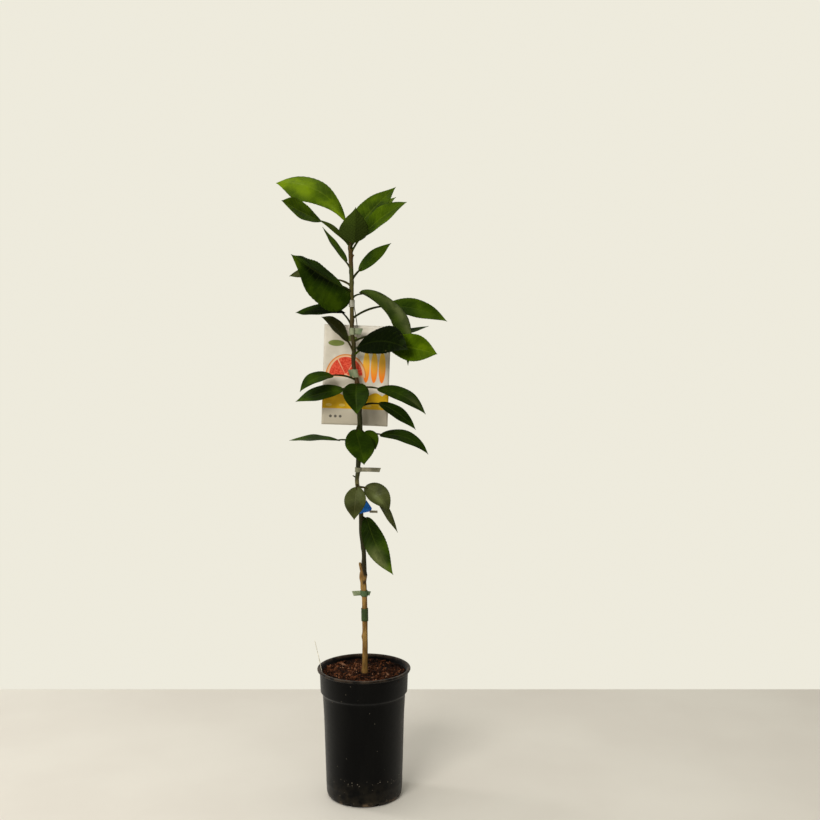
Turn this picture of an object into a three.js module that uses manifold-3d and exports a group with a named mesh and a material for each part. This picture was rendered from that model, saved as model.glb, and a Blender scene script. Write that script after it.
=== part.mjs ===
// A young grafted grapefruit tree, about a metre tall, growing in a three litre nursery pot.
// Millimetres, +Z up. The front view looks along +Y with +X to the right.
// The origin is the centre of the pot's flat underside.
// Headings turn from +X towards +Y: 0 is right, 90 behind, 180 left and 270 in front.
import * as THREE from 'three';
import { mergeVertices } from 'three/addons/utils/BufferGeometryUtils.js';
import Module from 'manifold-3d';

const wasm = await Module();
wasm.setup();

// Driving dimensions

const CLEARANCE = 0.3;          // between pieces that touch on the real plant

const POT = {
  height: 217,
  rimRadius: 77.4,              // outside of the rolled lip
  lipDepth: 4.6,
  collarRadius: [72.2, 73.4],   // bottom and top of the stiff band under the lip
  collarFoot: 178,
  stepRise: 3,                  // the step from the wall out to the collar
  wallRadius: [63, 68.9],       // bottom and top of the plain wall
  heelHeight: 10,               // the wall turns in to the base below this
  baseRadius: 58.6,
  wall: 1.6,
  floor: 2.4,
  segments: 48,
};

const DRAIN = { count: 8, width: 8, height: 5.5, inner: 57.4, outer: 66 };

// backRise lifts the soil towards the back wall and lowers it as much at the front.
const SOIL = { level: 208.9, dip: 2.2, backRise: 2.0, segments: 40 };

// The stem's height, its place across and its radius at the places where it bends or swells.
const STEM = [
  { z: 209.3, x: 1.3, y: 0, r: 5.3 },     // root flare on the soil
  { z: 217, x: 1.5, y: 0, r: 4.7 },
  { z: 263, x: 2, y: 0.5, r: 4.45 },
  { z: 331, x: 1.4, y: 1, r: 4.4 },
  { z: 352, x: 0.2, y: 1, r: 4.8 },
  { z: 371, x: -1, y: 0.5, r: 6.1 },      // graft union
  { z: 388, x: 0.4, y: 0, r: 4.4 },
  { z: 403, x: 0.8, y: -0.5, r: 3.6 },
  { z: 451, x: -3.5, y: -1.5, r: 3.8 },
  { z: 492, x: -3.8, y: -1, r: 3.8 },
  { z: 530, x: -10.3, y: 0.5, r: 3.5 },
  { z: 548, x: -8.4, y: 1, r: 3.8 },
  { z: 621, x: -4.9, y: 0, r: 4.1 },
  { z: 679, x: -7.9, y: -0.5, r: 3.7 },
  { z: 727, x: -15.3, y: -1, r: 3.3 },
  { z: 744, x: -14.2, y: -1.5, r: 3.2 },
  { z: 776, x: -17.2, y: -2, r: 3.3 },
  { z: 856, x: -17.5, y: -1, r: 3.5 },
  { z: 904, x: -19, y: 0, r: 3.5 },
  { z: 916, x: -19.8, y: 0, r: 3.0 },
  { z: 924, x: -20, y: 0, r: 1.4 },       // end bud
];
const STEM_SIDES = 10;
const RING_SPACING = 24;        // longest plain stretch between two rings of the stem

// Short stubs on the stem: the cut rootstock beside the graft, a thorn, and two old leaf stalks.
const STUBS = [
  { at: 370, heading: 180, rise: 77, length: 24, radius: [3.2, 2.1] },
  { at: 534, heading: 172, rise: 30, length: 8.5, radius: [1.5, 0.8] },
  { at: 637, heading: 187, rise: 48, length: 9.5, radius: [1.5, 1.0] },
  { at: 890, heading: 348, rise: 52, length: 8.5, radius: [1.7, 1.1] },
];

const STALK_RADIUS = [1.7, 1.15];   // where it leaves the stem, and at the blade
const STALK_SIDES = 5;
const STALK_STEPS = 3;
const STALK_ARCH = 0.1;         // how far a stalk bows upwards, as a share of its length
const STALK_SUNK = 7;           // how far it runs on inside the blade
const BLADE_STEPS = 9;          // cells along a blade
const BLADE_CELLS = 4;          // cells across a blade
const BLADE_END = 1.5;          // half width of a blade at its foot and its tip
const BLADE_THICKNESS = 0.0112; // of its length
const WALK_STEPS = 48;          // short steps that the midrib's bend is added up from
const WIDEST = 0.45;            // where along its length a blade is widest

// One row for each leaf, from the top down. Each leaves the stem at a height, on a stalk of a length,
// heading and rise. Its blade has a length and a width, and its midrib turns from a first heading and rise
// to a last one. roll turns the blade about its midrib, right side up, and fold lifts each half out of flat.
// lobe is how far back the left half's foot reaches, as a share of the length.
const LEAVES = [
  { name: 'leaf_01_crown_left', kind: 'young', at: 912, stalk: [36, 149, 78], blade: [146, 60],
    heading: [160, 170], rise: [66, -8], roll: [50, 45], fold: -18, widest: 0.66 },
  { name: 'leaf_02_crown_left_low', kind: 'young', at: 909, stalk: [64, 208, 38], blade: [84, 40],
    heading: [222, 226], rise: [17, 23], roll: [60, 60], fold: 12, widest: 0.58, wing: 6 },
  { name: 'leaf_03_crown_right_high', kind: 'young', at: 912, stalk: [30, 47, 62], blade: [100, 44],
    heading: [28, 28], rise: [50, 38], roll: [-45, -40], fold: 10, widest: 0.36 },
  { name: 'leaf_04_crown_right', kind: 'young', at: 897, stalk: [32, 357, 58], blade: [94, 41],
    heading: [346, 346], rise: [48, 24], roll: [-55, -48], fold: 12, widest: 0.5 },
  { name: 'leaf_05_crown_front', kind: 'mature', at: 905, stalk: [19, 290, 30], blade: [71, 52],
    heading: [277, 277], rise: [43, 55], roll: [0, 0], fold: 26, widest: 0.25 },
  { name: 'leaf_06_crown_behind', kind: 'young', at: 903, stalk: [38, 70, 52], blade: [104, 36],
    heading: [40, 40], rise: [46, 26], roll: [-20, -20], fold: 10 },
  { name: 'leaf_07_back_crown', kind: 'mature', at: 896, stalk: [16, 95, 60], blade: [66, 26],
    heading: [92, 92], rise: [55, 30], roll: [0, 0], fold: 15 },
  { name: 'leaf_08_left_slim', kind: 'mature', at: 872, stalk: [17, 147, 50], blade: [78, 24],
    heading: [139, 139], rise: [44, 52], roll: [-8, -8], fold: 15, widest: 0.38 },
  { name: 'leaf_09_right_small', kind: 'mature', at: 855, stalk: [21, 34, 48], blade: [71, 22],
    heading: [18, 18], rise: [46, 34], roll: [-55, -55], fold: 8 },
  { name: 'leaf_10_left_large', kind: 'mature', at: 836, stalk: [18, 224, 27], blade: [116, 97],
    heading: [222, 222], rise: [23, 29], roll: [60, 60], fold: -26, widest: 0.32, lobe: 0.17 },
  { name: 'leaf_11_left_hidden', kind: 'old', at: 846, stalk: [27, 143, 18], blade: [94, 27],
    heading: [158, 158], rise: [27, -16], roll: [42, 42], fold: 10, widest: 0.65 },
  { name: 'leaf_12_right_drooping', kind: 'mature', at: 826, stalk: [17, 338, 38], blade: [148, 66],
    heading: [357, 357], rise: [-18, -84], bend: 0.73, roll: [-8, -38], fold: 22, widest: 0.4 },
  { name: 'leaf_13_right_far', kind: 'mature', at: 794, stalk: [64, 19, 18], blade: [104, 35],
    heading: [12, 12], rise: [3, -31], roll: [-60, -60], fold: 8 },
  { name: 'leaf_14_left_shaded', kind: 'mature', at: 780, stalk: [26, 168, 64], blade: [88, 42],
    heading: [161, 161], rise: [13, -13], roll: [24, 24], fold: 2, widest: 0.6 },
  { name: 'leaf_15_right_tip', kind: 'mature', at: 757, stalk: [57, 4, 9], blade: [74, 18],
    heading: [24, 24], rise: [10, 14], roll: [-20, -20], fold: 8 },
  { name: 'leaf_16_right_bright', kind: 'young', at: 735, stalk: [64, 325, 19], blade: [101, 44],
    heading: [327, 327], rise: [-3, -13], roll: [-75, -75], fold: 6, widest: 0.55 },
  { name: 'leaf_17_right_arched', kind: 'mature', at: 743, stalk: [14, 296, 22], blade: [121, 56],
    heading: [314, 314], rise: [20, -24], bend: 1.2, roll: [-50, -52], fold: 8, widest: 0.5 },
  { name: 'leaf_18_left_olive', kind: 'old', at: 738, stalk: [23, 214, 62], blade: [62, 40],
    heading: [211, 211], rise: [50, 30], roll: [46, 46], fold: 12 },
  { name: 'leaf_19_left_bowed', kind: 'mature', at: 694, stalk: [40, 195, 12], blade: [71, 27],
    heading: [218, 218], rise: [8, -52], bend: 1.2, roll: [30, 25], fold: 8 },
  { name: 'leaf_20_middle_front', kind: 'mature', at: 688, stalk: [8, 264, 8], blade: [66, 46],
    heading: [266, 280], rise: [-22, -66], roll: [0, 0], fold: 24, widest: 0.5 },
  { name: 'leaf_21_left_level', kind: 'mature', at: 682, stalk: [24, 194, -5], blade: [80, 30],
    heading: [189, 189], rise: [-5, -22], roll: [45, 45], fold: 8 },
  { name: 'leaf_22_right_long', kind: 'mature', at: 680, stalk: [34, 339, 2], blade: [95, 30],
    heading: [337, 337], rise: [0, -48], roll: [-35, -35], fold: 8 },
  { name: 'leaf_23_right_lower', kind: 'mature', at: 650, stalk: [35, 343, 14], blade: [77, 25],
    heading: [337, 337], rise: [-18, -46], roll: [-35, -35], fold: 8 },
  { name: 'leaf_24_middle_round', kind: 'mature', at: 622, stalk: [15, 238, -25], blade: [67, 50],
    heading: [287, 299], rise: [-40, -64], roll: [0, 0], fold: 6, widest: 0.5 },
  { name: 'leaf_25_middle_right', kind: 'mature', at: 613, stalk: [9, 314, -24], blade: [35, 29],
    heading: [332, 332], rise: [-30, -66], roll: [-60, -60], fold: 6 },
  { name: 'leaf_26_right_lowest', kind: 'mature', at: 603, stalk: [33, 9, 1], blade: [91, 29],
    heading: [345, 345], rise: [13, -51], roll: [-32, -32], fold: 8 },
  { name: 'leaf_27_left_flat', kind: 'mature', at: 590, stalk: [33, 169, 9], blade: [93, 36],
    heading: [158, 158], rise: [4, -9], roll: [10, 10], fold: 8, widest: 0.6 },
  { name: 'leaf_28_back_middle', kind: 'mature', at: 598, stalk: [14, 82, -10], blade: [62, 32],
    heading: [84, 84], rise: [-16, -50], roll: [0, 0], fold: 10 },
  { name: 'leaf_29_low_left', kind: 'old', at: 524, stalk: [9, 267, -22], blade: [58, 36],
    heading: [264, 264], rise: [-42, -74], roll: [0, 0], fold: 8 },
  { name: 'leaf_30_low_right', kind: 'old', at: 518, stalk: [13, 329, 6], blade: [63, 34],
    heading: [325, 325], rise: [-3, -66], roll: [-50, -50], fold: 8 },
  { name: 'leaf_31_low_hanging', kind: 'old', at: 508, stalk: [26, 13, -3], blade: [75, 20],
    heading: [9, 9], rise: [-58, -62], roll: [-40, -40], fold: 10 },
  { name: 'leaf_32_back_low', kind: 'old', at: 508, stalk: [13, 105, -5], blade: [55, 22],
    heading: [100, 100], rise: [-20, -50], roll: [0, 0], fold: 10 },
  { name: 'leaf_33_lowest', kind: 'mature', at: 468, stalk: [11, 330, 14], blade: [104, 37],
    heading: [336, 336], rise: [-75, -50], roll: [-78, -60], fold: 8, widest: 0.43 },
  { name: 'leaf_34_back_lowest', kind: 'old', at: 460, stalk: [12, 75, -5], blade: [70, 28],
    heading: [75, 75], rise: [-24, -66], roll: [0, 0], fold: 10 },
];

const CARD = { width: 108.5, height: 164, thickness: 0.8, x: -11.5, y: 14, z: 701.3, roll: 2.2, bow: 2.5 };

const HANGER = { at: 818.7, height: 11, thickness: 0.9, strapHeading: 54, strap: [1.6, 1.0], strapFoot: 776 };

// Plastic ties and tapes: the height of the middle of each wrap, its own height, and its loose tails to the
// right or left as their reach across the front and their height.
const TIES = [
  { name: 'tie_low', at: 342, height: 9.5, tails: [{ to: -19.5, height: 8 }, { to: 12, height: 7 }] },
  { name: 'graft_tape', at: 306, height: 21, tails: [] },
  { name: 'tie_middle', at: 548, height: 7.5, tails: [{ to: 29, height: 7 }] },
  { name: 'tie_card', at: 706, height: 13, tails: [{ to: -24.5, height: 12 }] },
  { name: 'tie_high', at: 774, height: 11, tails: [{ to: 0.5, height: 10 }] },
];
const TIE_THICKNESS = 0.9;

// The blue tape round the stem, with its flag in front, and its short brown end.
const TAG = {
  at: 487, wrapHeight: 10, thickness: 1.2,
  flag: [[-7, 476.2], [12.7, 480.3], [14.3, 485.3], [5.3, 498.6], [-2, 487.8]],
  endReach: 23.4, endAt: 478, endHeight: 4,
};

const STRAW = { foot: [-68, -10], lean: [-13, 0], length: 61, radius: 0.55, sunk: 1.1 };

const COLOURS = {
  pot: 0x17171a, soil: 0x3a2119, bark: 0x7d6a3f, young: 0x5f8a1f, mature: 0x24421a, old: 0x4f5a34,
  card: 0xe6dcc8, hanger: 0xd9dcd6, tape: 0x5f7d66, tag: 0x0f4fb0, straw: 0xd6c9a8,
};

// Small helpers

const group = new THREE.Group();
const rad = THREE.MathUtils.degToRad;
const lerp = THREE.MathUtils.lerp;

function finish(colour, roughness) {
  return new THREE.MeshStandardMaterial({ color: colour, roughness, metalness: 0 });
}

function weld(geometry) {
  geometry.deleteAttribute('normal');
  geometry.deleteAttribute('uv');
  return mergeVertices(geometry, 1e-4);
}

function solidOf(geometry) {
  const welded = weld(geometry);
  const mesh = new wasm.Mesh({
    numProp: 3,
    vertProperties: welded.attributes.position.array,
    triVerts: new Uint32Array(welded.index.array),
  });
  return new wasm.Manifold(mesh);
}

function geometryOf(solid) {
  const mesh = solid.getMesh();
  const geometry = new THREE.BufferGeometry();
  geometry.setAttribute('position', new THREE.BufferAttribute(mesh.vertProperties, 3));
  geometry.setIndex(new THREE.BufferAttribute(mesh.triVerts, 1));
  geometry.computeVertexNormals();
  return geometry;
}

// The largest closed body of a solid, so that a cut leaves no scrap.
function largest(solid) {
  const bodies = solid.decompose();
  return bodies.reduce((a, b) => (b.volume() > a.volume() ? b : a));
}

function addMesh(name, geometry, material) {
  const mesh = new THREE.Mesh(geometry, material);
  mesh.name = name;
  group.add(mesh);
  return mesh;
}

// Moves every point of a geometry by a function that takes and returns a Vector3.
function bend(geometry, move) {
  const places = geometry.attributes.position;
  const point = new THREE.Vector3();
  for (let i = 0; i < places.count; i += 1) {
    point.fromBufferAttribute(places, i);
    const moved = move(point);
    places.setXYZ(i, moved.x, moved.y, moved.z);
  }
  return geometry;
}

function direction(heading, rise) {
  const flat = Math.cos(rad(rise));
  return new THREE.Vector3(
    flat * Math.cos(rad(heading)), flat * Math.sin(rad(heading)), Math.sin(rad(rise)));
}

// Pot and soil

function latheZ(profile, segments) {
  const points = profile.map(([r, z]) => new THREE.Vector2(r, z));
  return new THREE.LatheGeometry(points, segments).rotateX(Math.PI / 2);
}

function potInside(z) {
  const top = POT.collarFoot - POT.stepRise;
  const t = (z - POT.heelHeight) / (top - POT.heelHeight);
  return lerp(POT.wallRadius[0], POT.wallRadius[1], t) - POT.wall;
}

function makePot() {
  const lipFoot = POT.height - POT.lipDepth;
  const [collarLow, collarHigh] = POT.collarRadius;
  const [wallLow, wallHigh] = POT.wallRadius;
  const wallTop = POT.collarFoot - POT.stepRise;
  const profile = [
    [0, 0],
    [POT.baseRadius, 0],
    [lerp(POT.baseRadius, wallLow, 0.7), POT.heelHeight * 0.35],
    [wallLow, POT.heelHeight],
    [wallHigh, wallTop],
    [collarLow, POT.collarFoot],
    [collarHigh, lipFoot],
    [POT.rimRadius - 0.8, lipFoot + 0.6],
    [POT.rimRadius, lipFoot + 1.8],
    [POT.rimRadius - 0.4, POT.height - 0.8],
    [POT.rimRadius - 1.6, POT.height],
    [collarHigh - 0.4, POT.height],
    [collarHigh - POT.wall, POT.height - 2],
    [collarLow - POT.wall, POT.collarFoot + 1],
    [wallHigh - POT.wall, wallTop - 1],
    [wallLow - POT.wall, POT.heelHeight],
    [wallLow - POT.wall - 3, POT.floor + 1],
    [wallLow - POT.wall - 5, POT.floor],
    [0, POT.floor],
  ];
  let solid = solidOf(latheZ(profile, POT.segments));
  for (let i = 0; i < DRAIN.count; i += 1) {
    const depth = DRAIN.outer - DRAIN.inner;
    const slot = new THREE.BoxGeometry(depth, DRAIN.width, DRAIN.height * 2);
    slot.translate(DRAIN.inner + depth / 2, 0, 0);
    slot.rotateZ((i + 0.5) * 2 * Math.PI / DRAIN.count);
    solid = solid.subtract(solidOf(slot));
  }
  addMesh('pot', geometryOf(solid), finish(COLOURS.pot, 0.45));
}

function makeSoil() {
  const edge = SOIL.level - 0.7;
  const wallTop = POT.collarFoot - POT.stepRise - 1;
  const profile = [
    [0, POT.floor + CLEARANCE],
    [POT.wallRadius[0] - POT.wall - 6, POT.floor + CLEARANCE],
    [potInside(POT.heelHeight) - CLEARANCE - 0.6, POT.heelHeight],
    [potInside(wallTop) - CLEARANCE, wallTop],
    [POT.collarRadius[0] - POT.wall - CLEARANCE - 0.1, POT.collarFoot + 2],
    [POT.collarRadius[1] - POT.wall - CLEARANCE - 0.4, edge],
    [52, SOIL.level - SOIL.dip],
    [32, SOIL.level - SOIL.dip * 0.5],
    [16, SOIL.level],
    [0, SOIL.level],
  ];
  const geometry = latheZ(profile, SOIL.segments);
  const points = geometry.getAttribute('position');
  const surfaceFoot = POT.collarFoot + 3;
  const slope = SOIL.backRise / POT.collarRadius[1];
  for (let i = 0; i < points.count; i += 1) {
    const z = points.getZ(i);
    if (z > surfaceFoot) points.setZ(i, z + points.getY(i) * slope);
  }
  addMesh('soil', geometry, finish(COLOURS.soil, 0.95));
}

// Stem

function stemAt(z) {
  let i = 0;
  while (i < STEM.length - 2 && z > STEM[i + 1].z) i += 1;
  const low = STEM[i];
  const high = STEM[i + 1];
  const t = THREE.MathUtils.smoothstep(z, low.z, high.z);
  const centre = new THREE.Vector3(lerp(low.x, high.x, t), lerp(low.y, high.y, t), z);
  return { centre, radius: lerp(low.r, high.r, t) };
}

// Heights of the stem's rings: each row of the list, and evenly spaced ones in its long stretches.
function ringHeights() {
  const heights = [STEM[0].z];
  for (let i = 1; i < STEM.length; i += 1) {
    const from = STEM[i - 1].z;
    const cells = Math.ceil((STEM[i].z - from) / RING_SPACING);
    for (let k = 1; k <= cells; k += 1) heights.push(lerp(from, STEM[i].z, k / cells));
  }
  return heights;
}

// A closed tapering tube. ring gives its centre and its two half axes at a share from 0 to 1.
function tube(sides, steps, ring) {
  const plain = new THREE.CylinderGeometry(1, 1, 1, sides, steps);
  return bend(plain, (p) => {
    const { centre, across, over } = ring(Math.round((p.y + 0.5) * steps) / steps);
    return centre.clone().addScaledVector(across, p.z).addScaledVector(over, p.x);
  });
}

function stemSolid(grow) {
  const heights = ringHeights();
  const last = heights.length - 1;
  return solidOf(tube(STEM_SIDES, last, (share) => {
    const { centre, radius } = stemAt(heights[Math.round(share * last)]);
    const spread = radius + grow;
    if (grow > 0 && share === 0) centre.z -= grow;
    if (grow > 0 && share === 1) centre.z += grow;
    return { centre, across: new THREE.Vector3(spread, 0, 0), over: new THREE.Vector3(0, spread, 0) };
  }));
}

function stubSolid(stub, grow) {
  const { centre } = stemAt(stub.at);
  const along = direction(stub.heading, stub.rise);
  const right = new THREE.Vector3().crossVectors(along, new THREE.Vector3(0, 0, 1)).normalize();
  const up = new THREE.Vector3().crossVectors(right, along);
  return solidOf(tube(STALK_SIDES, 1, (share) => {
    const radius = lerp(stub.radius[0], stub.radius[1], share) + grow;
    const reach = share * (stub.length + grow);
    return {
      centre: centre.clone().addScaledVector(along, reach),
      across: up.clone().multiplyScalar(radius),
      over: right.clone().multiplyScalar(radius),
    };
  }));
}

// The stem with its stubs. grow makes the slightly larger body that clears its neighbours.
function wholeStem(grow) {
  return STUBS.reduce((solid, stub) => solid.add(stubSolid(stub, grow)), stemSolid(grow));
}

const stem = wholeStem(0);
const stemRoom = wholeStem(CLEARANCE);

// Leaves

// Directions along the midrib, towards the blade's right side, and out of its upper face, at a share t.
function bladeAxes(leaf, t) {
  const heading = lerp(leaf.heading[0], leaf.heading[1], t);
  const rise = lerp(leaf.rise[0], leaf.rise[1], t ** (leaf.bend ?? 1));
  const roll = rad(lerp(leaf.roll[0], leaf.roll[1], t));
  const along = direction(heading, rise);
  const flat = new THREE.Vector3(Math.sin(rad(heading)), -Math.cos(rad(heading)), 0);
  const up = new THREE.Vector3().crossVectors(flat, along);
  const side = flat.clone().multiplyScalar(Math.cos(roll)).addScaledVector(up, Math.sin(roll));
  const face = up.clone().multiplyScalar(Math.cos(roll)).addScaledVector(flat, -Math.sin(roll));
  return { along, side, face };
}

function midrib(leaf) {
  const { centre } = stemAt(leaf.at);
  const [length, heading, rise] = leaf.stalk;
  const points = [centre.addScaledVector(direction(heading, rise), length)];
  const step = leaf.blade[0] / WALK_STEPS;
  for (let i = 0; i < WALK_STEPS; i += 1) {
    const { along } = bladeAxes(leaf, (i + 0.5) / WALK_STEPS);
    points.push(points[i].clone().addScaledVector(along, step));
  }
  return points;
}

function pointOn(points, t) {
  const place = Math.min(t, 1) * (points.length - 1);
  const i = Math.min(Math.floor(place), points.length - 2);
  return points[i].clone().lerp(points[i + 1], place - i);
}

// Half the blade's width: rounded at the foot, pointed at the tip.
function halfWidth(leaf, t) {
  const skew = Math.log(0.5) / Math.log(leaf.widest ?? WIDEST);
  const swell = Math.sin(Math.PI * t ** skew);
  return Math.max(leaf.blade[1] / 2 * Math.max(swell, 0) ** (0.6 + 0.5 * t), BLADE_END);
}

function bladeSolid(leaf, rib) {
  const thickness = leaf.blade[0] * BLADE_THICKNESS;
  const plain = new THREE.BoxGeometry(2, 1, 1, BLADE_CELLS, BLADE_STEPS, 1);
  const fold = rad(leaf.fold);
  return solidOf(bend(plain, (p) => {
    const t = p.y + 0.5;
    const { along, side, face } = bladeAxes(leaf, t);
    const reach = halfWidth(leaf, t);
    const lift = Math.abs(p.x) * reach * Math.sin(fold) + p.z * thickness;
    const back = (leaf.lobe ?? 0) * leaf.blade[0] * Math.max(-p.x, 0) * (1 - t) ** 2;
    return pointOn(rib, t)
      .addScaledVector(side, p.x * reach * Math.cos(fold))
      .addScaledVector(face, lift)
      .addScaledVector(along, -back);
  }));
}

function stalkSolid(leaf, rib) {
  const start = stemAt(leaf.at).centre;
  const end = pointOn(rib, STALK_SUNK / leaf.blade[0]);
  const middle = start.clone().lerp(rib[0], 0.5);
  middle.z += leaf.stalk[0] * STALK_ARCH * 2;
  const path = new THREE.QuadraticBezierCurve3(start, middle, end);
  const { side } = bladeAxes(leaf, 0);
  return solidOf(tube(STALK_SIDES, STALK_STEPS, (share) => {
    const along = path.getTangent(share);
    const over = new THREE.Vector3().crossVectors(along, side).normalize();
    const across = new THREE.Vector3().crossVectors(over, along);
    const radius = lerp(STALK_RADIUS[0], STALK_RADIUS[1], share);
    const wing = (leaf.wing ?? 0) * Math.sin(Math.PI * share) ** 2;
    return {
      centre: path.getPoint(share),
      across: across.multiplyScalar(radius + wing),
      over: over.multiplyScalar(radius),
    };
  }));
}

const leafFinish = {
  young: finish(COLOURS.young, 0.4),
  mature: finish(COLOURS.mature, 0.4),
  old: finish(COLOURS.old, 0.6),
};

function makeLeaf(leaf) {
  const rib = midrib(leaf);
  const whole = bladeSolid(leaf, rib).add(stalkSolid(leaf, rib));
  addMesh(leaf.name, geometryOf(largest(whole.subtract(stemRoom))), leafFinish[leaf.kind]);
}

// Ties, tag, card and straw

// A sleeve round the stem, a little clear of the bark.
function sleeveSolid(at, height, thickness) {
  const rings = 2;
  const sleeve = (grow, extra) => solidOf(tube(STEM_SIDES, rings, (share) => {
    const { centre, radius } = stemAt(at + (share - 0.5) * height);
    centre.z += (share - 0.5) * extra;
    const spread = radius + grow;
    return { centre, across: new THREE.Vector3(spread, 0, 0), over: new THREE.Vector3(0, spread, 0) };
  }));
  return sleeve(CLEARANCE * 2 + thickness, 0).subtract(sleeve(CLEARANCE * 2, 2));
}

// A loose end of tape, standing on edge from the sleeve out to a place across the front.
function tailSolid(at, tail) {
  const { centre, radius } = stemAt(at);
  const sign = Math.sign(tail.to - centre.x);
  const from = centre.x + sign * (radius + CLEARANCE * 2 + TIE_THICKNESS / 3);
  const length = Math.abs(tail.to - from);
  const slant = tail.height * 0.35;
  const shape = new THREE.Shape([
    new THREE.Vector2(0, -tail.height / 2),
    new THREE.Vector2(length - slant, -tail.height / 2),
    new THREE.Vector2(length, tail.height / 2),
    new THREE.Vector2(0, tail.height / 2),
  ]);
  const tape = new THREE.ExtrudeGeometry(shape, { depth: TIE_THICKNESS, bevelEnabled: false });
  tape.rotateX(Math.PI / 2);
  if (sign < 0) tape.rotateZ(Math.PI);
  tape.translate(from, centre.y, at);
  return solidOf(tape);
}

function makeTies() {
  const material = finish(COLOURS.tape, 0.5);
  for (const tie of TIES) {
    const wrap = sleeveSolid(tie.at, tie.height, TIE_THICKNESS);
    const solid = tie.tails.reduce((whole, tail) => whole.add(tailSolid(tie.at, tail)), wrap);
    addMesh(tie.name, geometryOf(largest(solid.subtract(stemRoom))), material);
  }
}

function makeTag() {
  const wrap = sleeveSolid(TAG.at, TAG.wrapHeight, TIE_THICKNESS);
  const { centre, radius } = stemAt(TAG.at);
  const front = centre.y - radius - CLEARANCE * 2 - TIE_THICKNESS / 2;
  const outline = new THREE.Shape(TAG.flag.map(([x, z]) => new THREE.Vector2(x, z)));
  const flag = new THREE.ExtrudeGeometry(outline, { depth: TAG.thickness, bevelEnabled: false });
  flag.rotateX(Math.PI / 2).translate(0, front, 0);
  const flagEdge = TAG.flag[1][0];
  const end = new THREE.BoxGeometry(TAG.endReach - flagEdge + 4, TAG.thickness, TAG.endHeight);
  end.translate((TAG.endReach + flagEdge - 4) / 2, front - TAG.thickness / 2, TAG.endAt + TAG.endHeight / 2);
  const solid = wrap.add(solidOf(flag)).add(solidOf(end)).subtract(stemRoom);
  addMesh('tag_blue', geometryOf(largest(solid)), finish(COLOURS.tag, 0.4));
}

function makeCard() {
  const cells = 6;
  const sheet = new THREE.BoxGeometry(CARD.width, CARD.thickness, CARD.height, cells, 1, cells);
  bend(sheet, (p) => {
    const across = p.x / CARD.width * 2;
    p.y += CARD.bow * (1 - across * across);
    return p;
  });
  const card = addMesh('label_card', sheet, finish(COLOURS.card, 0.4));
  card.position.set(CARD.x, CARD.y, CARD.z);
  card.rotation.y = rad(CARD.roll);
}

function makeHanger() {
  const band = sleeveSolid(HANGER.at, HANGER.height, HANGER.thickness);
  const top = stemAt(HANGER.at);
  const foot = stemAt(HANGER.strapFoot);
  const wall = top.radius + CLEARANCE * 2 + HANGER.thickness / 2;
  const [width, thickness] = HANGER.strap;
  const start = direction(HANGER.strapHeading, 0).multiplyScalar(wall).add(top.centre);
  const cardFront = CARD.y + CARD.bow - CARD.thickness / 2 - CLEARANCE - thickness / 2;
  const end = new THREE.Vector3(foot.centre.x + 8, cardFront, HANGER.strapFoot);
  const middle = new THREE.Vector3(end.x - 0.5, cardFront - 1.5, CARD.z + CARD.height / 2 + 6);
  const path = new THREE.QuadraticBezierCurve3(start, middle, end);
  const strap = tube(4, 6, (share) => ({
    centre: path.getPoint(share),
    across: new THREE.Vector3(-width / 2, 0, 0),
    over: new THREE.Vector3(0, thickness / 2, 0),
  }));
  const solid = band.add(solidOf(strap)).subtract(stemRoom);
  addMesh('card_hanger', geometryOf(largest(solid)), finish(COLOURS.hanger, 0.3));
}

function makeStraw() {
  const foot = new THREE.Vector3(STRAW.foot[0], STRAW.foot[1], SOIL.level - STRAW.sunk + CLEARANCE);
  const along = new THREE.Vector3(STRAW.lean[0], STRAW.lean[1], STRAW.length).normalize();
  const straw = tube(5, 3, (share) => ({
    centre: foot.clone().addScaledVector(along, share * STRAW.length),
    across: new THREE.Vector3(STRAW.radius, 0, 0),
    over: new THREE.Vector3(0, STRAW.radius, 0),
  }));
  addMesh('straw', weld(straw), finish(COLOURS.straw, 0.8));
}

makePot();
makeSoil();
addMesh('trunk', geometryOf(stem), finish(COLOURS.bark, 0.8));
LEAVES.forEach(makeLeaf);
makeTies();
makeTag();
makeCard();
makeHanger();
makeStraw();

export default group;
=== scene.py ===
# %% [markdown]
# # A young grapefruit tree in a nursery pot
#
# This lesson dresses a packed set of plain solids as a real plant: a slender grafted stem, broad glossy
# leaves, soft ties, a blue tag, a picture card, and a black plastic pot of bark and peat. The solids give
# the sizes. Here each one gets a finer mesh grown by the same rule, and a finish made of shader nodes.

# %% Load the solids that everything is fitted to
import math
import random
from collections import namedtuple

import bmesh
import bpy
import numpy as np
from mathutils import Euler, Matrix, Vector, noise


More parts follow.
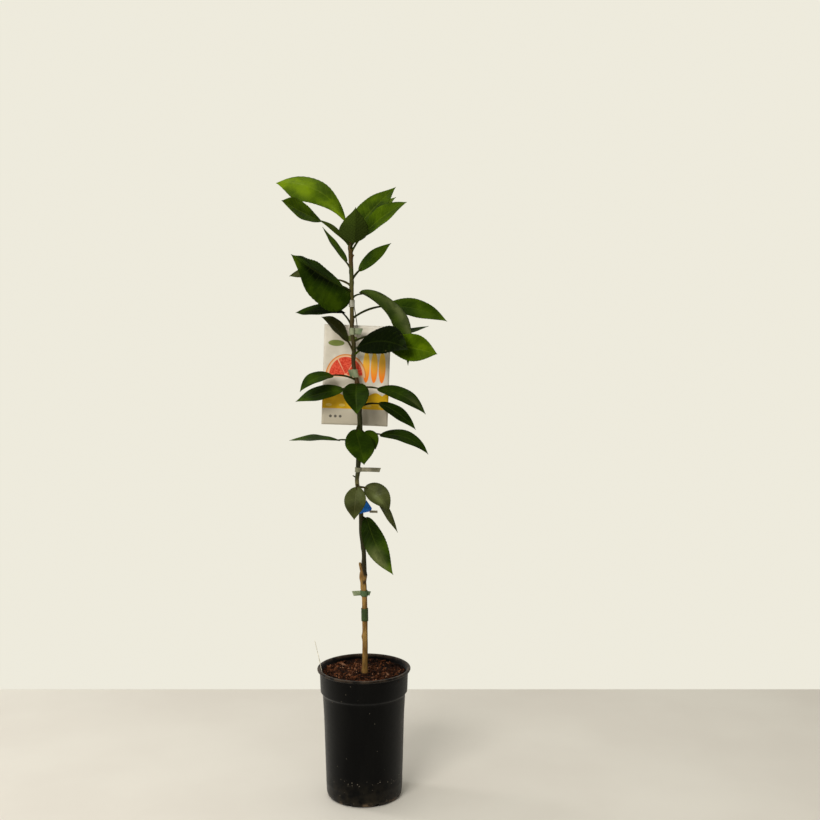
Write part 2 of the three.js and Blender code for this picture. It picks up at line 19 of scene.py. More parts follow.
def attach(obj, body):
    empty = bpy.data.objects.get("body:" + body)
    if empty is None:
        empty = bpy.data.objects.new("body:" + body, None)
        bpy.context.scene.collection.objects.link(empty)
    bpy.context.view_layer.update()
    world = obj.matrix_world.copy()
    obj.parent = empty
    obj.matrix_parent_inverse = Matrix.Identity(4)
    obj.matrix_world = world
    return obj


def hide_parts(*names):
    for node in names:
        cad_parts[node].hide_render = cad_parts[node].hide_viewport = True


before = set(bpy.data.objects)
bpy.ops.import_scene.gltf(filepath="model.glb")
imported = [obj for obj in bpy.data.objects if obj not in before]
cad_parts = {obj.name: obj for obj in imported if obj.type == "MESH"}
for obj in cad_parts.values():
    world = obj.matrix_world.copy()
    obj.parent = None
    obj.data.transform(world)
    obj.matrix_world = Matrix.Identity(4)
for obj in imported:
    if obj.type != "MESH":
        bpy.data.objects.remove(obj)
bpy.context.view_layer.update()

# %% [markdown]
# ## The camera and the light
#
# The camera stands two metres in front of the plant and looks slightly down. It could be placed by eye, but
# it was fitted by least squares, to known heights and to the ellipses of the pot's rim and foot. One picture
# leaves play between lens and distance. The light is a broad soft one from above and in front, a weaker one
# from overhead and one from the left, a faint one from the right, and pale surroundings.

# %% Camera
TILT_DOWN = 5.613
camera_data = bpy.data.cameras.new("studio_camera")
camera_data.lens = 52.95
camera_data.sensor_width = 36
camera = bpy.data.objects.new("studio_camera", camera_data)
camera.location = (0.0765, -1.953, 0.838)
camera.rotation_euler = (math.radians(90 - TILT_DOWN), 0, 0)
bpy.context.collection.objects.link(camera)
bpy.context.scene.camera = camera
bpy.context.scene.view_settings.view_transform = "Standard"
print("camera height:", camera.location.z, "m")

# %% Lights
def soft_light(name, place, aim, size, power, colour):
    data = bpy.data.lights.new(name, "AREA")
    data.shape = "RECTANGLE"
    data.size, data.size_y = size
    data.energy = power
    data.color = colour
    light = bpy.data.objects.new(name, data)
    light.location = place
    light.rotation_euler = (Vector(aim) - Vector(place)).to_track_quat("-Z", "Y").to_euler()
    bpy.context.collection.objects.link(light)
    return light


lights = [
    soft_light("front_light", (-1.0, -2.5, 2.0), (0, 0, 0.55), (1.3, 1.0), 62, (1, 0.97, 0.9)),
    soft_light("top_light", (-0.3, -0.2, 2.6), (0, 0, 0.5), (1.4, 1.2), 16, (1, 0.98, 0.94)),
    soft_light("left_light", (-1.9, 0.7, 1.0), (0, 0, 0.5), (0.4, 1.8), 13, (1, 0.98, 0.95)),
    soft_light("right_light", (1.9, 0.7, 0.9), (0, 0, 0.4), (0.4, 1.8), 0.7, (1, 0.93, 0.8)),
]
print("lights:", len(lights))

# %% Pale surroundings
BACKDROP = 0.9
BEHIND, OVERHEAD = 0.42, 0.4
world = bpy.data.worlds.new("pale_room")
world.use_nodes = True
sky = world.node_tree
toward = sky.nodes.new("ShaderNodeTexCoord").outputs["Generated"]
split = sky.nodes.new("ShaderNodeSeparateXYZ")
sky.links.new(toward, split.inputs[0])


def room_share(socket, low, high, top):
    share = sky.nodes.new("ShaderNodeMapRange")
    sky.links.new(socket, share.inputs["Value"])
    share.inputs["From Min"].default_value = low
    share.inputs["From Max"].default_value = high
    share.inputs["To Min"].default_value = 0
    share.inputs["To Max"].default_value = top
    return share.outputs["Result"]


room = sky.nodes.new("ShaderNodeMath")
sky.links.new(room_share(split.outputs["Y"], -0.3, 0.9, BEHIND), room.inputs[0])
sky.links.new(room_share(split.outputs["Z"], 0.0, 1.0, OVERHEAD), room.inputs[1])
seen = sky.nodes.new("ShaderNodeMix")
seen.inputs[3].default_value = BACKDROP
sky.links.new(sky.nodes.new("ShaderNodeLightPath").outputs["Is Camera Ray"], seen.inputs[0])
sky.links.new(room.outputs[0], seen.inputs[2])
sky.nodes["Background"].inputs["Color"].default_value = (0.95, 0.92, 0.8, 1)
sky.links.new(seen.outputs[0], sky.nodes["Background"].inputs["Strength"])
bpy.context.scene.world = world
print("backdrop strength:", BACKDROP)

# %% [markdown]
# ## Small tools for shader nodes
#
# A finish is a chain of nodes. Writing each node by hand takes several lines, so a few small helpers make a
# node, do sums, mix two colours, read a measure off the mesh and set up a group. Colours are typed as they
# look on a screen, from 0 to 255, and are turned into the linear values that a shader needs.

# %% Helpers for nodes
def paint(red, green, blue):
    linear = [((c / 255 + 0.055) / 1.055) ** 2.4 if c > 10 else c / 255 / 12.92 for c in (red, green, blue)]
    return (*linear, 1)


def add(tree, kind, sockets=None, **settings):
    made = tree.nodes.new(kind)
    for key, value in settings.items():
        setattr(made, key, value)
    for key, value in (sockets or {}).items():
        if isinstance(value, bpy.types.NodeSocket):
            tree.links.new(value, made.inputs[key])
        else:
            made.inputs[key].default_value = value
    return made


def calc(tree, operation, *values):
    return add(tree, "ShaderNodeMath", dict(enumerate(values)), operation=operation).outputs[0]


def mix(tree, share, first, second):
    made = add(tree, "ShaderNodeMix", {0: share, 6: first, 7: second}, data_type="RGBA")
    return made.outputs[2]


def spread(tree, value, low, high, to_low=0.0, to_high=1.0):
    sockets = {"Value": value, "From Min": low, "From Max": high, "To Min": to_low, "To Max": to_high}
    return add(tree, "ShaderNodeMapRange", sockets, interpolation_type="SMOOTHSTEP").outputs["Result"]


print("node makers ready")

# %% Helpers that read the mesh and fill in a shader
def on_object(tree):
    return add(tree, "ShaderNodeTexCoord").outputs["Object"]


def parts_of(tree, place):
    return add(tree, "ShaderNodeSeparateXYZ", {0: place}).outputs


def measured(tree, name):
    return parts_of(tree, add(tree, "ShaderNodeUVMap", uv_map=name).outputs[0])


def marked(tree, name):
    return add(tree, "ShaderNodeAttribute", attribute_name=name).outputs["Fac"]


def colour_steps(tree, level, stops):
    ramp = add(tree, "ShaderNodeValToRGB", {0: level})
    while len(ramp.color_ramp.elements) < len(stops):
        ramp.color_ramp.elements.new(1.0)
    for stop, (place, colour) in zip(ramp.color_ramp.elements, stops):
        stop.position = place
        stop.color = colour
    return ramp.outputs["Color"]


def roughen(tree, shader, height, distance, strength):
    bump = add(tree, "ShaderNodeBump", {"Height": height, "Distance": distance, "Strength": strength})
    tree.links.new(bump.outputs[0], shader.inputs["Normal"])


print("mesh readers ready")

# %% Helpers for groups and materials
def new_group(name, inputs, outputs):
    tree = bpy.data.node_groups.new(name, "ShaderNodeTree")
    for label, value in inputs.items():
        kind = "NodeSocketVector" if isinstance(value, tuple) else "NodeSocketFloat"
        tree.interface.new_socket(name=label, in_out="INPUT", socket_type=kind).default_value = value
    for label in outputs:
        tree.interface.new_socket(name=label, in_out="OUTPUT", socket_type="NodeSocketFloat")
    return tree, tree.nodes.new("NodeGroupInput").outputs, tree.nodes.new("NodeGroupOutput").inputs


def use(tree, group, **values):
    made = add(tree, "ShaderNodeGroup", node_tree=group)
    for label, value in values.items():
        socket = made.inputs[label.replace("_", " ")]
        if isinstance(value, bpy.types.NodeSocket):
            tree.links.new(value, socket)
        else:
            socket.default_value = value
    return made.outputs


def new_material(name):
    material = bpy.data.materials.new(name)
    material.use_nodes = True
    return material, material.node_tree, material.node_tree.nodes["Principled BSDF"]


print("group and material makers ready")

# %% [markdown]
# ## Effects that several finishes share
#
# Nothing on a plant is one even colour. Three effects are used more than once: a cloudy mottle in every
# finish, fine specks on leaves, bark and pot, and dust between two heights, at the pot's foot and its lip.
# Each is built once as a node group with its own inputs, so that it can be used again with other values.

# %% Mottle, specks and dust
def build_mottle():
    inputs = {"Stretch": (1.0, 1.0, 1.0), "Scale": 40.0, "Detail": 4.0}
    tree, given, put = new_group("mottle", inputs, ["Value"])
    sockets = {0: on_object(tree), 1: given["Stretch"]}
    place = add(tree, "ShaderNodeVectorMath", sockets, operation="MULTIPLY").outputs[0]
    sockets = {"Vector": place, "Scale": given["Scale"], "Detail": given["Detail"]}
    cloud = add(tree, "ShaderNodeTexNoise", sockets).outputs["Fac"]
    tree.links.new(spread(tree, cloud, 0.3, 0.7), put["Value"])
    return tree


def build_specks():
    tree, given, put = new_group("specks", {"Scale": 300.0, "Size": 0.2, "Share": 0.5}, ["Mask"])
    cells = add(tree, "ShaderNodeTexVoronoi", {"Vector": on_object(tree), "Scale": given["Scale"]})
    dot = calc(tree, "LESS_THAN", cells.outputs["Distance"], given["Size"])
    chance = add(tree, "ShaderNodeSeparateColor", {0: cells.outputs["Color"]}).outputs[0]
    chosen = calc(tree, "LESS_THAN", chance, given["Share"])
    tree.links.new(calc(tree, "MULTIPLY", dot, chosen), put["Mask"])
    return tree


def build_dust():
    tree, given, put = new_group("dust", {"Foot": 0.0, "Top": 0.1, "Amount": 0.5}, ["Mask"])
    height = parts_of(tree, on_object(tree))["Z"]
    sockets = {"Value": height, "From Min": given["Top"], "From Max": given["Foot"]}
    band = add(tree, "ShaderNodeMapRange", sockets).outputs[0]
    cloud = use(tree, mottle, Scale=90.0, Detail=6.0)["Value"]
    cloudy_band = calc(tree, "MULTIPLY", band, cloud)
    tree.links.new(calc(tree, "MULTIPLY", cloudy_band, given["Amount"]), put["Mask"])
    return tree


mottle = build_mottle()
specks = build_specks()
dust = build_dust()
print("shared effects:", [g.name for g in bpy.data.node_groups])

# %% [markdown]
# ## Leaf finishes
#
# A citrus leaf has a pale midrib, side veins that leave it in pairs and sweep towards the tip, and a fine
# net between them. A picture could hold that, but the veins have to follow each blade's own length and
# width, so the pattern is worked out from the blade's own measure: how far along it a point lies, and how
# far across. Each leaf also carries a tone, so that three finishes give all the greens of the plant.

# %% Vein pattern
VEIN_PAIRS = 11.0
VEIN_SWEEP = 0.16


def build_veins():
    inputs = {"Pairs": VEIN_PAIRS, "Sweep": VEIN_SWEEP, "Net scale": 420.0}
    tree, given, put = new_group("leaf_veins", inputs, ["Midrib", "Veins", "Net", "Height"])
    blade = measured(tree, "blade")
    across = calc(tree, "ABSOLUTE", blade["Y"])
    midrib = spread(tree, across, 0.085, 0.02)
    lag = calc(tree, "MULTIPLY", given["Sweep"], -1.0)
    swept = calc(tree, "MULTIPLY_ADD", across, lag, blade["X"])
    phase = calc(tree, "FRACT", calc(tree, "MULTIPLY", swept, given["Pairs"]))
    ridge = calc(tree, "ABSOLUTE", calc(tree, "SUBTRACT", phase, 0.5))
    vein = calc(tree, "MULTIPLY", spread(tree, ridge, 0.43, 0.49), spread(tree, across, 0.97, 0.7))
    sockets = {"Vector": on_object(tree), "Scale": given["Net scale"]}
    cells = add(tree, "ShaderNodeTexVoronoi", sockets, feature="DISTANCE_TO_EDGE")
    net = spread(tree, cells.outputs["Distance"], 0.12, 0.0)
    swell = calc(tree, "MULTIPLY", calc(tree, "SUBTRACT", 0.5, ridge), 1.6)
    height = calc(tree, "MULTIPLY_ADD", net, -0.05, swell)
    height = calc(tree, "MULTIPLY_ADD", midrib, -0.7, height)
    for label, socket in (("Midrib", midrib), ("Veins", vein), ("Net", net), ("Height", height)):
        tree.links.new(socket, put[label])
    return tree


veins = build_veins()
print("vein pattern outputs:", [o.name for o in veins.interface.items_tree if o.in_out == "OUTPUT"])

# %% Colour of a leaf, point by point
def leaf_marks(tree):
    marks = {name: marked(tree, name) for name in ("tone", "under", "stalk", "pale")}
    marks["cloud"] = use(tree, mottle, Scale=30.0, Detail=5.0)["Value"]
    # Below zero, pale marks quiet the veins, as painted shade on leaves that lie in shade.
    marks["loud"] = spread(tree, marks["pale"], -0.15, 0.0, 0.3, 1.0)
    return marks


def leaf_green(tree, marks, tones, patchy):
    """The green of each point, from its leaf's tone with its painted light and shade, a cloudy mottle and a
    lighter tip.
    """
    mottled = calc(tree, "MULTIPLY", calc(tree, "SUBTRACT", marks["cloud"], 0.5), patchy)
    level = calc(tree, "ADD", marks["tone"], mottled)
    level = calc(tree, "ADD", level, spread(tree, measured(tree, "blade")["X"], 0.72, 1.0, 0.0, 0.2))
    return colour_steps(tree, level, [(i / (len(tones) - 1), tone) for i, tone in enumerate(tones)])


def leaf_colour(tree, pattern, marks, colour, finish):
    """Lays the veins, the brown spots, a painted sheen, the paler underside and the stalk over the green."""
    side_veins = calc(tree, "MULTIPLY", pattern["Veins"], marks["loud"])
    midrib = calc(tree, "MULTIPLY", pattern["Midrib"], marks["loud"])
    for mask, share in ((side_veins, 0.14), (midrib, finish["ribbed"]), (pattern["Net"], 0.05)):
        colour = mix(tree, calc(tree, "MULTIPLY", mask, share), colour, finish["vein_colour"])
    spots = use(tree, specks, Scale=130.0, Size=0.16, Share=finish["spotting"])["Mask"]
    colour = mix(tree, calc(tree, "MULTIPLY", spots, 0.5), colour, paint(96, 84, 44))
    # Painted sheen: where a leaf is marked pale, a cloudy pale grey-green is laid over it.
    painted_sheen = calc(tree, "MULTIPLY", marks["pale"], spread(tree, marks["cloud"], 0.3, 0.6, 0.55, 1.0))
    colour = mix(tree, painted_sheen, colour, paint(104, 112, 66))
    colour = mix(tree, calc(tree, "MULTIPLY", marks["under"], 0.75), colour, finish["under_colour"])
    return mix(tree, marks["stalk"], colour, finish["stalk_colour"])


print("leaf colour rules ready")

# %% Leaf material
def leaf_material(name, finish):
    material, tree, shader = new_material(name)
    pattern = use(tree, veins)
    marks = leaf_marks(tree)
    green = leaf_green(tree, marks, finish["tones"], finish["patchy"])
    tree.links.new(leaf_colour(tree, pattern, marks, green, finish), shader.inputs["Base Color"])
    rough = calc(tree, "MULTIPLY_ADD", marks["cloud"], 0.12, finish["gloss"])
    rough = calc(tree, "MULTIPLY_ADD", marks["under"], 0.25, rough)
    rough = calc(tree, "MULTIPLY_ADD", calc(tree, "SUBTRACT", 1.0, marks["loud"]), 0.8, rough)
    tree.links.new(rough, shader.inputs["Roughness"])
    roughen(tree, shader, pattern["Height"], 0.0006, 0.55)
    shine = calc(tree, "ADD", calc(tree, "MULTIPLY", marks["pale"], 0.4), finish["waxy"])
    shine = calc(tree, "MAXIMUM", shine, 0.0)
    wax = use(tree, mottle, Scale=16.0, Detail=2.0)["Value"]
    coat = calc(tree, "MULTIPLY", spread(tree, wax, 0.4, 0.65), shine)
    topside = calc(tree, "SUBTRACT", 1.0, marks["under"])
    tree.links.new(calc(tree, "MULTIPLY", coat, topside), shader.inputs["Coat Weight"])
    shader.inputs["Coat Roughness"].default_value = 0.3
    shader.inputs["Specular IOR Level"].default_value = 0.03
    return material


LEAF_FINISHES = {
    "young": {
        "tones": [paint(34, 52, 0), paint(62, 84, 0), paint(100, 124, 4)],
        "vein_colour": paint(112, 132, 26), "under_colour": paint(62, 82, 6),
        "stalk_colour": paint(54, 66, 14),
        "gloss": 0.42, "spotting": 0.02, "patchy": 0.6, "waxy": 0.04, "ribbed": 0.16},
    "mature": {
        "tones": [paint(5, 12, 1), paint(34, 54, 4), paint(72, 96, 8)],
        "vein_colour": paint(78, 96, 26), "under_colour": paint(58, 72, 24),
        "stalk_colour": paint(42, 46, 16),
        "gloss": 0.4, "spotting": 0.06, "patchy": 0.4, "waxy": 0.06, "ribbed": 0.22},
    "old": {
        "tones": [paint(42, 44, 14), paint(58, 64, 28), paint(78, 84, 42)],
        "vein_colour": paint(92, 92, 54), "under_colour": paint(76, 78, 42),
        "stalk_colour": paint(58, 52, 24),
        "gloss": 0.44, "spotting": 0.3, "patchy": 0.75, "waxy": 0.12, "ribbed": 0.3},
}
leaf_finishes = {age: leaf_material(age + "_leaf", finish) for age, finish in LEAF_FINISHES.items()}
print("leaf finishes:", list(leaf_finishes))

# %% [markdown]
# ## The stem
#
# The stem is one whole piece from the soil to its end bud: tan rootstock, a swollen graft union with the
# stub of the cut rootstock, and a greener scion above it. Sculpting it by hand would give fine bark, but a
# rule is exact: rings a little over a millimetre apart follow the same bends as the solid, and each point is
# pushed in or out by bark furrows, leaf cushions and knots.

# %% Stem measures, in millimetres: height, place across, radius
MM = 0.001
STEM = np.array([
    (209.3, 1.3, 0, 5.3), (217, 1.5, 0, 4.7), (263, 2, 0.5, 4.45), (331, 1.4, 1, 4.4), (352, 0.2, 1, 4.8),
    (371, -1, 0.5, 6.1), (388, 0.4, 0, 4.4), (403, 0.8, -0.5, 3.6), (451, -3.5, -1.5, 3.8),
    (492, -3.8, -1, 3.8), (530, -10.3, 0.5, 3.5), (548, -8.4, 1, 3.8), (621, -4.9, 0, 4.1),
    (679, -7.9, -0.5, 3.7), (727, -15.3, -1, 3.3), (744, -14.2, -1.5, 3.2), (776, -17.2, -2, 3.3),
    (856, -17.5, -1, 3.5), (904, -19, 0, 3.5), (916, -19.8, 0, 3.0), (924, -20, 0, 1.4),
])
# cut rootstock, thorn, old leaf stalk and side bud: height, heading, rise, length, thick end, thin end
STUBS = [
    (370, 180, 77, 24, 3.2, 2.1),
    (534, 172, 30, 8.5, 1.5, 0.8),
    (637, 187, 48, 9.5, 1.5, 1.0),
    (890, 348, 52, 8.5, 1.7, 1.1),
]


def stem_at(z):
    i = int(np.clip(np.searchsorted(STEM[:, 0], z, side="left") - 1, 0, len(STEM) - 2))
    low, high = STEM[i], STEM[i + 1]
    t = float(np.clip((z - low[0]) / (high[0] - low[0]), 0, 1))
    t = t * t * (3 - 2 * t)
    row = low + (high - low) * t
    return np.array([row[1], row[2], z]), float(row[3])


def direction(heading, rise):
    h, r = math.radians(heading), math.radians(rise)
    return np.array([math.cos(r) * math.cos(h), math.cos(r) * math.sin(h), math.sin(r)])


def unit(v):
    return v / np.linalg.norm(v)


def between(pair, t):
    return pair[0] + (pair[1] - pair[0]) * t


def curve(start, middle, end, s):
    return start * (1 - s) ** 2 + middle * 2 * s * (1 - s) + end * s * s


print("stem leans", round(STEM[0][1] - STEM[-1][1], 1), "mm to the left on its way up")

# %% [markdown]
# ## Leaves by the rule of the solids
#
# Each leaf is told by a few measures: where it leaves the stem, its stalk, its blade's length and width, the
# way its midrib turns, and how it rolls and folds. The solids use a coarse grid. Here the same rule fills a
# grid of eighty by twenty cells on both faces, and adds what a coarse one can't hold: thin edges, a groove
# over the midrib and a ridge under it, swells between the side veins, and a gently waved margin.

# %% Leaf measures
# The stalk has a length, a heading and a rise, and the blade a length and a width. Heading, rise and roll
# are given at the blade's foot and at its tip, in degrees. The rest is told where it isn't the usual: widest
# place, bend, wing of the stalk, lobe, how much the lower face shows as an underside, soft marks of painted
# shade and painted light that shift the tone (marks), and marks of painted sheen that also raise the gloss,
# while marks below zero lower it and quiet the veins (pale), each at a place along and across, with its
# reaches and strength.
Leaf = namedtuple("Leaf", "kind at stalk blade heading rise roll fold more")
LEAVES = {
    # Painted light on the tip and lower half, and painted shade at the lower edge by leaf 02 and near the
    # foot on the upper half.
    "leaf_01_crown_left": Leaf(
        "young", 912, (36, 149, 78), (146, 60), (160, 170), (66, -8), (50, 45), -18, dict(
            widest=0.66, tone=0.55,
            marks=((0.85, 0, 0.3, 0.8, 0.3), (0.35, -0.6, 0.35, 0.35, 0.3),
                   (0.6, -0.9, 0.2, 0.4, -0.5), (0.2, 0.7, 0.4, 0.4, -0.3)))),
    "leaf_02_crown_left_low": Leaf(
        "young", 909, (64, 208, 38), (84, 40), (222, 226), (17, 23), (60, 60), 12, dict(
            widest=0.58, wing=6, tone=0.2)),
    "leaf_03_crown_right_high": Leaf(
        "young", 912, (30, 47, 62), (100, 44), (28, 28), (50, 38), (-45, -40), 10, dict(
            widest=0.36, tone=0.2,
            marks=((0.5, -0.5, 0.2, 0.4, 0.3),))),
    # Painted highlight in a band towards the tip, and painted shade on the other half near the foot.
    "leaf_04_crown_right": Leaf(
        "young", 897, (32, 357, 58), (94, 41), (346, 346), (48, 24), (-55, -48), 12, dict(
            widest=0.5, tone=0.35,
            marks=((0.75, -0.3, 0.2, 0.5, 0.35), (0.2, 0.5, 0.3, 0.6, -0.35)))),
    # Painted shade at the foot and painted light towards the tip.
    "leaf_05_crown_front": Leaf(
        "mature", 905, (19, 290, 30), (71, 52), (277, 277), (43, 55), (0, 0), 26, dict(
            widest=0.25, tone=0.5,
            marks=((0, 0, 0.45, 2, -0.45), (1, 0, 0.45, 2, 0.4)))),
    "leaf_06_crown_behind": Leaf(
        "young", 903, (38, 70, 52), (104, 36), (40, 40), (46, 26), (-20, -20), 10, dict(
            tone=0.35)),
    "leaf_07_back_crown": Leaf(
        "mature", 896, (16, 95, 60), (66, 26), (92, 92), (55, 30), (0, 0), 15, dict(
            tone=0.4)),
    "leaf_08_left_slim": Leaf(
        "mature", 872, (17, 147, 50), (78, 24), (139, 139), (44, 52), (-8, -8), 15, dict(
            widest=0.38, tone=0.75)),
    "leaf_09_right_small": Leaf(
        "mature", 855, (21, 34, 48), (71, 22), (18, 18), (46, 34), (-55, -55), 8, dict(
            tone=0.55)),
    # Painted shade: a dark band just under the midrib and a darker upper half stand in for the shade of the
    # fold, and less underside colour and gloss keep that upper half dark.
    "leaf_10_left_large": Leaf(
        "mature", 836, (18, 224, 27), (116, 97), (222, 222), (23, 29), (60, 60), -26, dict(
            widest=0.32, lobe=0.17, tone=0.6, under=0.1,
            marks=((0.4, -0.12, 0.45, 0.22, -0.75), (0.45, 0.6, 0.7, 0.45, -0.3)),
            pale=((0.45, 0.75, 0.9, 0.6, -0.3),))),
    "leaf_11_left_hidden": Leaf(
        "old", 846, (27, 143, 18), (94, 27), (158, 158), (27, -16), (42, 42), 10, dict(
            widest=0.65, tone=0.2)),
    # Painted shade near the foot, painted sheen in a band along one edge, and a faint painted sheen nearer
    # the foot.
    "leaf_12_right_drooping": Leaf(
        "mature", 826, (17, 338, 38), (148, 66), (357, 357), (-18, -84), (-8, -38), 22, dict(
            widest=0.4, bend=0.73, tone=0.6,
            marks=((0.25, 0, 0.2, 0.5, -0.2),),
            pale=((0.5, -0.8, 0.3, 0.35, 0.75), (0.3, 0, 0.3, 1, 0.1)))),
    "leaf_13_right_far": Leaf(
        "mature", 794, (64, 19, 18), (104, 35), (12, 12), (3, -31), (-60, -60), 8, dict(
            tone=0.74,
            marks=((0.1, 0, 0.25, 2, -0.3),))),
    # Painted shade towards the foot, and quieter veins and gloss over the whole leaf.
    "leaf_14_left_shaded": Leaf(
        "mature", 780, (26, 168, 64), (88, 42), (161, 161), (13, -13), (24, 24), 2, dict(
            widest=0.6, tone=0.3,
            marks=((0.2, 0, 0.35, 2, -0.35),),
            pale=((0.5, 0, 1, 2, -0.2),))),
    "leaf_15_right_tip": Leaf(
        "mature", 757, (57, 4, 9), (74, 18), (24, 24), (10, 14), (-20, -20), 8, dict(
            tone=0.4)),
    "leaf_16_right_bright": Leaf(
        "young", 735, (64, 325, 19), (101, 44), (327, 327), (-3, -13), (-75, -75), 6, dict(
            widest=0.55, tone=0.5,
            marks=((0.3, 0.3, 0.3, 0.8, -0.35), (0.75, -0.2, 0.2, 0.5, 0.15)))),
    # Painted shade: the darkest green, with quieter veins and gloss, for a leaf that faces up away from the
    # light.
    "leaf_17_right_arched": Leaf(
        "mature", 743, (14, 296, 22), (121, 56), (314, 314), (20, -24), (-50, -52), 8, dict(
            widest=0.5, bend=1.2, tone=-0.12,
            pale=((0.4, 0.2, 0.5, 1, -0.25),))),
    "leaf_18_left_olive": Leaf(
        "old", 738, (23, 214, 62), (62, 40), (211, 211), (50, 30), (46, 46), 12, dict(
            tone=0.1)),
    "leaf_19_left_bowed": Leaf(
        "mature", 694, (40, 195, 12), (71, 27), (218, 218), (8, -52), (30, 25), 8, dict(
            bend=1.2, tone=0.5)),
    "leaf_20_middle_front": Leaf(
        "mature", 688, (8, 264, 8), (66, 46), (266, 280), (-22, -66), (0, 0), 24, dict(
            widest=0.5, tone=0.32)),
    "leaf_21_left_level": Leaf(
        "mature", 682, (24, 194, -5), (80, 30), (189, 189), (-5, -22), (45, 45), 8, dict(
            tone=0.5)),
    # Painted sheen in a streak three quarters of the way to the tip.
    "leaf_22_right_long": Leaf(
        "mature", 680, (34, 339, 2), (95, 30), (337, 337), (0, -48), (-35, -35), 8, dict(
            tone=0.42,
            pale=((0.75, -0.2, 0.15, 0.4, 0.5),))),
    "leaf_23_right_lower": Leaf(
        "mature", 650, (35, 343, 14), (77, 25), (337, 337), (-18, -46), (-35, -35), 8, dict(
            tone=0.25)),
    "leaf_24_middle_round": Leaf(
        "mature", 622, (15, 238, -25), (67, 50), (287, 299), (-40, -64), (0, 0), 6, dict(
            widest=0.5, tone=0.52,
            marks=((0.3, 0.5, 0.3, 0.5, -0.2),),
            pale=((0.5, 0, 1, 2, -0.08),))),
    "leaf_25_middle_right": Leaf(
        "mature", 613, (9, 314, -24), (35, 29), (332, 332), (-30, -66), (-60, -60), 6, dict(
            tone=0.5, under=0.1,
            pale=((0.5, 0, 1, 2, -0.2),))),
    "leaf_26_right_lowest": Leaf(
        "mature", 603, (33, 9, 1), (91, 29), (345, 345), (13, -51), (-32, -32), 8, dict(
            tone=0.3)),
    "leaf_27_left_flat": Leaf(
        "mature", 590, (33, 169, 9), (93, 36), (158, 158), (4, -9), (10, 10), 8, dict(
            widest=0.6, tone=0.5)),
    "leaf_28_back_middle": Leaf(
        "mature", 598, (14, 82, -10), (62, 32), (84, 84), (-16, -50), (0, 0), 10, dict(
            tone=0.4)),
    # Painted sheen near the foot on one side.
    "leaf_29_low_left": Leaf(
        "old", 524, (9, 267, -22), (58, 36), (264, 264), (-42, -74), (0, 0), 8, dict(
            tone=0.5,
            pale=((0.25, -0.4, 0.3, 0.6, 0.35),))),
    # Painted sheen in a strong patch past the middle and a weaker one near the foot.
    "leaf_30_low_right": Leaf(
        "old", 518, (13, 329, 6), (63, 34), (325, 325), (-3, -66), (-50, -50), 8, dict(
            tone=0.45,
            pale=((0.55, 0.3, 0.25, 0.3, 1.1), (0.2, -0.3, 0.2, 0.4, 0.4)))),
    "leaf_31_low_hanging": Leaf(
        "old", 508, (26, 13, -3), (75, 20), (9, 9), (-58, -62), (-40, -40), 10, dict(
            tone=0.8,
            pale=((0.5, 0, 0.4, 1, 0.5),))),
    "leaf_32_back_low": Leaf(
        "old", 508, (13, 105, -5), (55, 22), (100, 100), (-20, -50), (0, 0), 10, dict(
            tone=0.4)),
    # Painted light on the folded tip, painted shade at the foot, and a painted reflection across the lower
    # part.
    "leaf_33_lowest": Leaf(
        "mature", 468, (11, 330, 14), (104, 37), (336, 336), (-75, -50), (-78, -60), 8, dict(
            widest=0.43, tone=0.5,
            marks=((0.97, 0, 0.14, 2, 0.6), (0.15, 0, 0.2, 2, -0.2)),
            pale=((0.68, 0.45, 0.17, 0.6, 1.1),))),
    "leaf_34_back_lowest": Leaf(
        "old", 460, (12, 75, -5), (70, 28), (75, 75), (-24, -66), (0, 0), 10, dict(
            tone=0.4)),
}
ALONG, ACROSS = 80, 20
WALK_STEPS = 48
STALK_RADIUS = (1.7, 1.15)
STALK_SUNK = 7
BLADE_ENDS = (1.5, 0.5)
print("leaves:", len(LEAVES))

# %% Shape of one blade
def blade_axes(leaf, t):
    heading = between(leaf.heading, t)
    rise = between(leaf.rise, t ** leaf.more.get("bend", 1))
    turn = math.radians(between(leaf.roll, t))
    along = direction(heading, rise)
    flat = np.array([math.sin(math.radians(heading)), -math.cos(math.radians(heading)), 0])
    up = np.cross(flat, along)
    side = flat * math.cos(turn) + up * math.sin(turn)
    face = up * math.cos(turn) - flat * math.sin(turn)
    return along, side, face


def walk_midrib(leaf):
    length, heading, rise = leaf.stalk
    points = [stem_at(leaf.at)[0] + direction(heading, rise) * length]
    for i in range(WALK_STEPS):
        along = blade_axes(leaf, (i + 0.5) / WALK_STEPS)[0]
        points.append(points[-1] + along * leaf.blade[0] / WALK_STEPS)
    return np.array(points)


def point_on(points, t):
    place = min(t, 1) * (len(points) - 1)
    i = min(int(place), len(points) - 2)
    return points[i] + (points[i + 1] - points[i]) * (place - i)


def half_width(leaf, t):
    skew = math.log(0.5) / math.log(leaf.more.get("widest", 0.45))
    swell = max(math.sin(math.pi * t ** skew), 0) ** (0.6 + 0.5 * t)
    return max(leaf.blade[1] / 2 * swell, between(BLADE_ENDS, t))


large_leaf = LEAVES["leaf_10_left_large"]
large_reach = max(half_width(large_leaf, t / 20) for t in range(21))
print("widest half of the large leaf:", round(large_reach, 1), "mm")

# %% Grid of one blade, both faces
HALF_THICK, EDGE_LOSS = 0.3, 0.16
GROOVE, RIDGE, RIB_WIDTH = 0.3, 0.65, 1.1
WAVE, SWELL, SERRATION = 0.016, 0.35, 0.012


def margin_wave(t, x, seed):
    return math.sin(2 * math.pi * (2.3 * t + seed) + (1.2 if x > 0 else 0)) * x * x


def vein_swell(t, x, reach):
    swept = (t - VEIN_SWEEP * abs(x)) * VEIN_PAIRS
    pillow = 0.5 - abs(swept - math.floor(swept) - 0.5)
    return SWELL * (0.5 - pillow) * min(1, reach / 8) * (1 - x ** 4) * min(1, 6 * t * (1 - t))


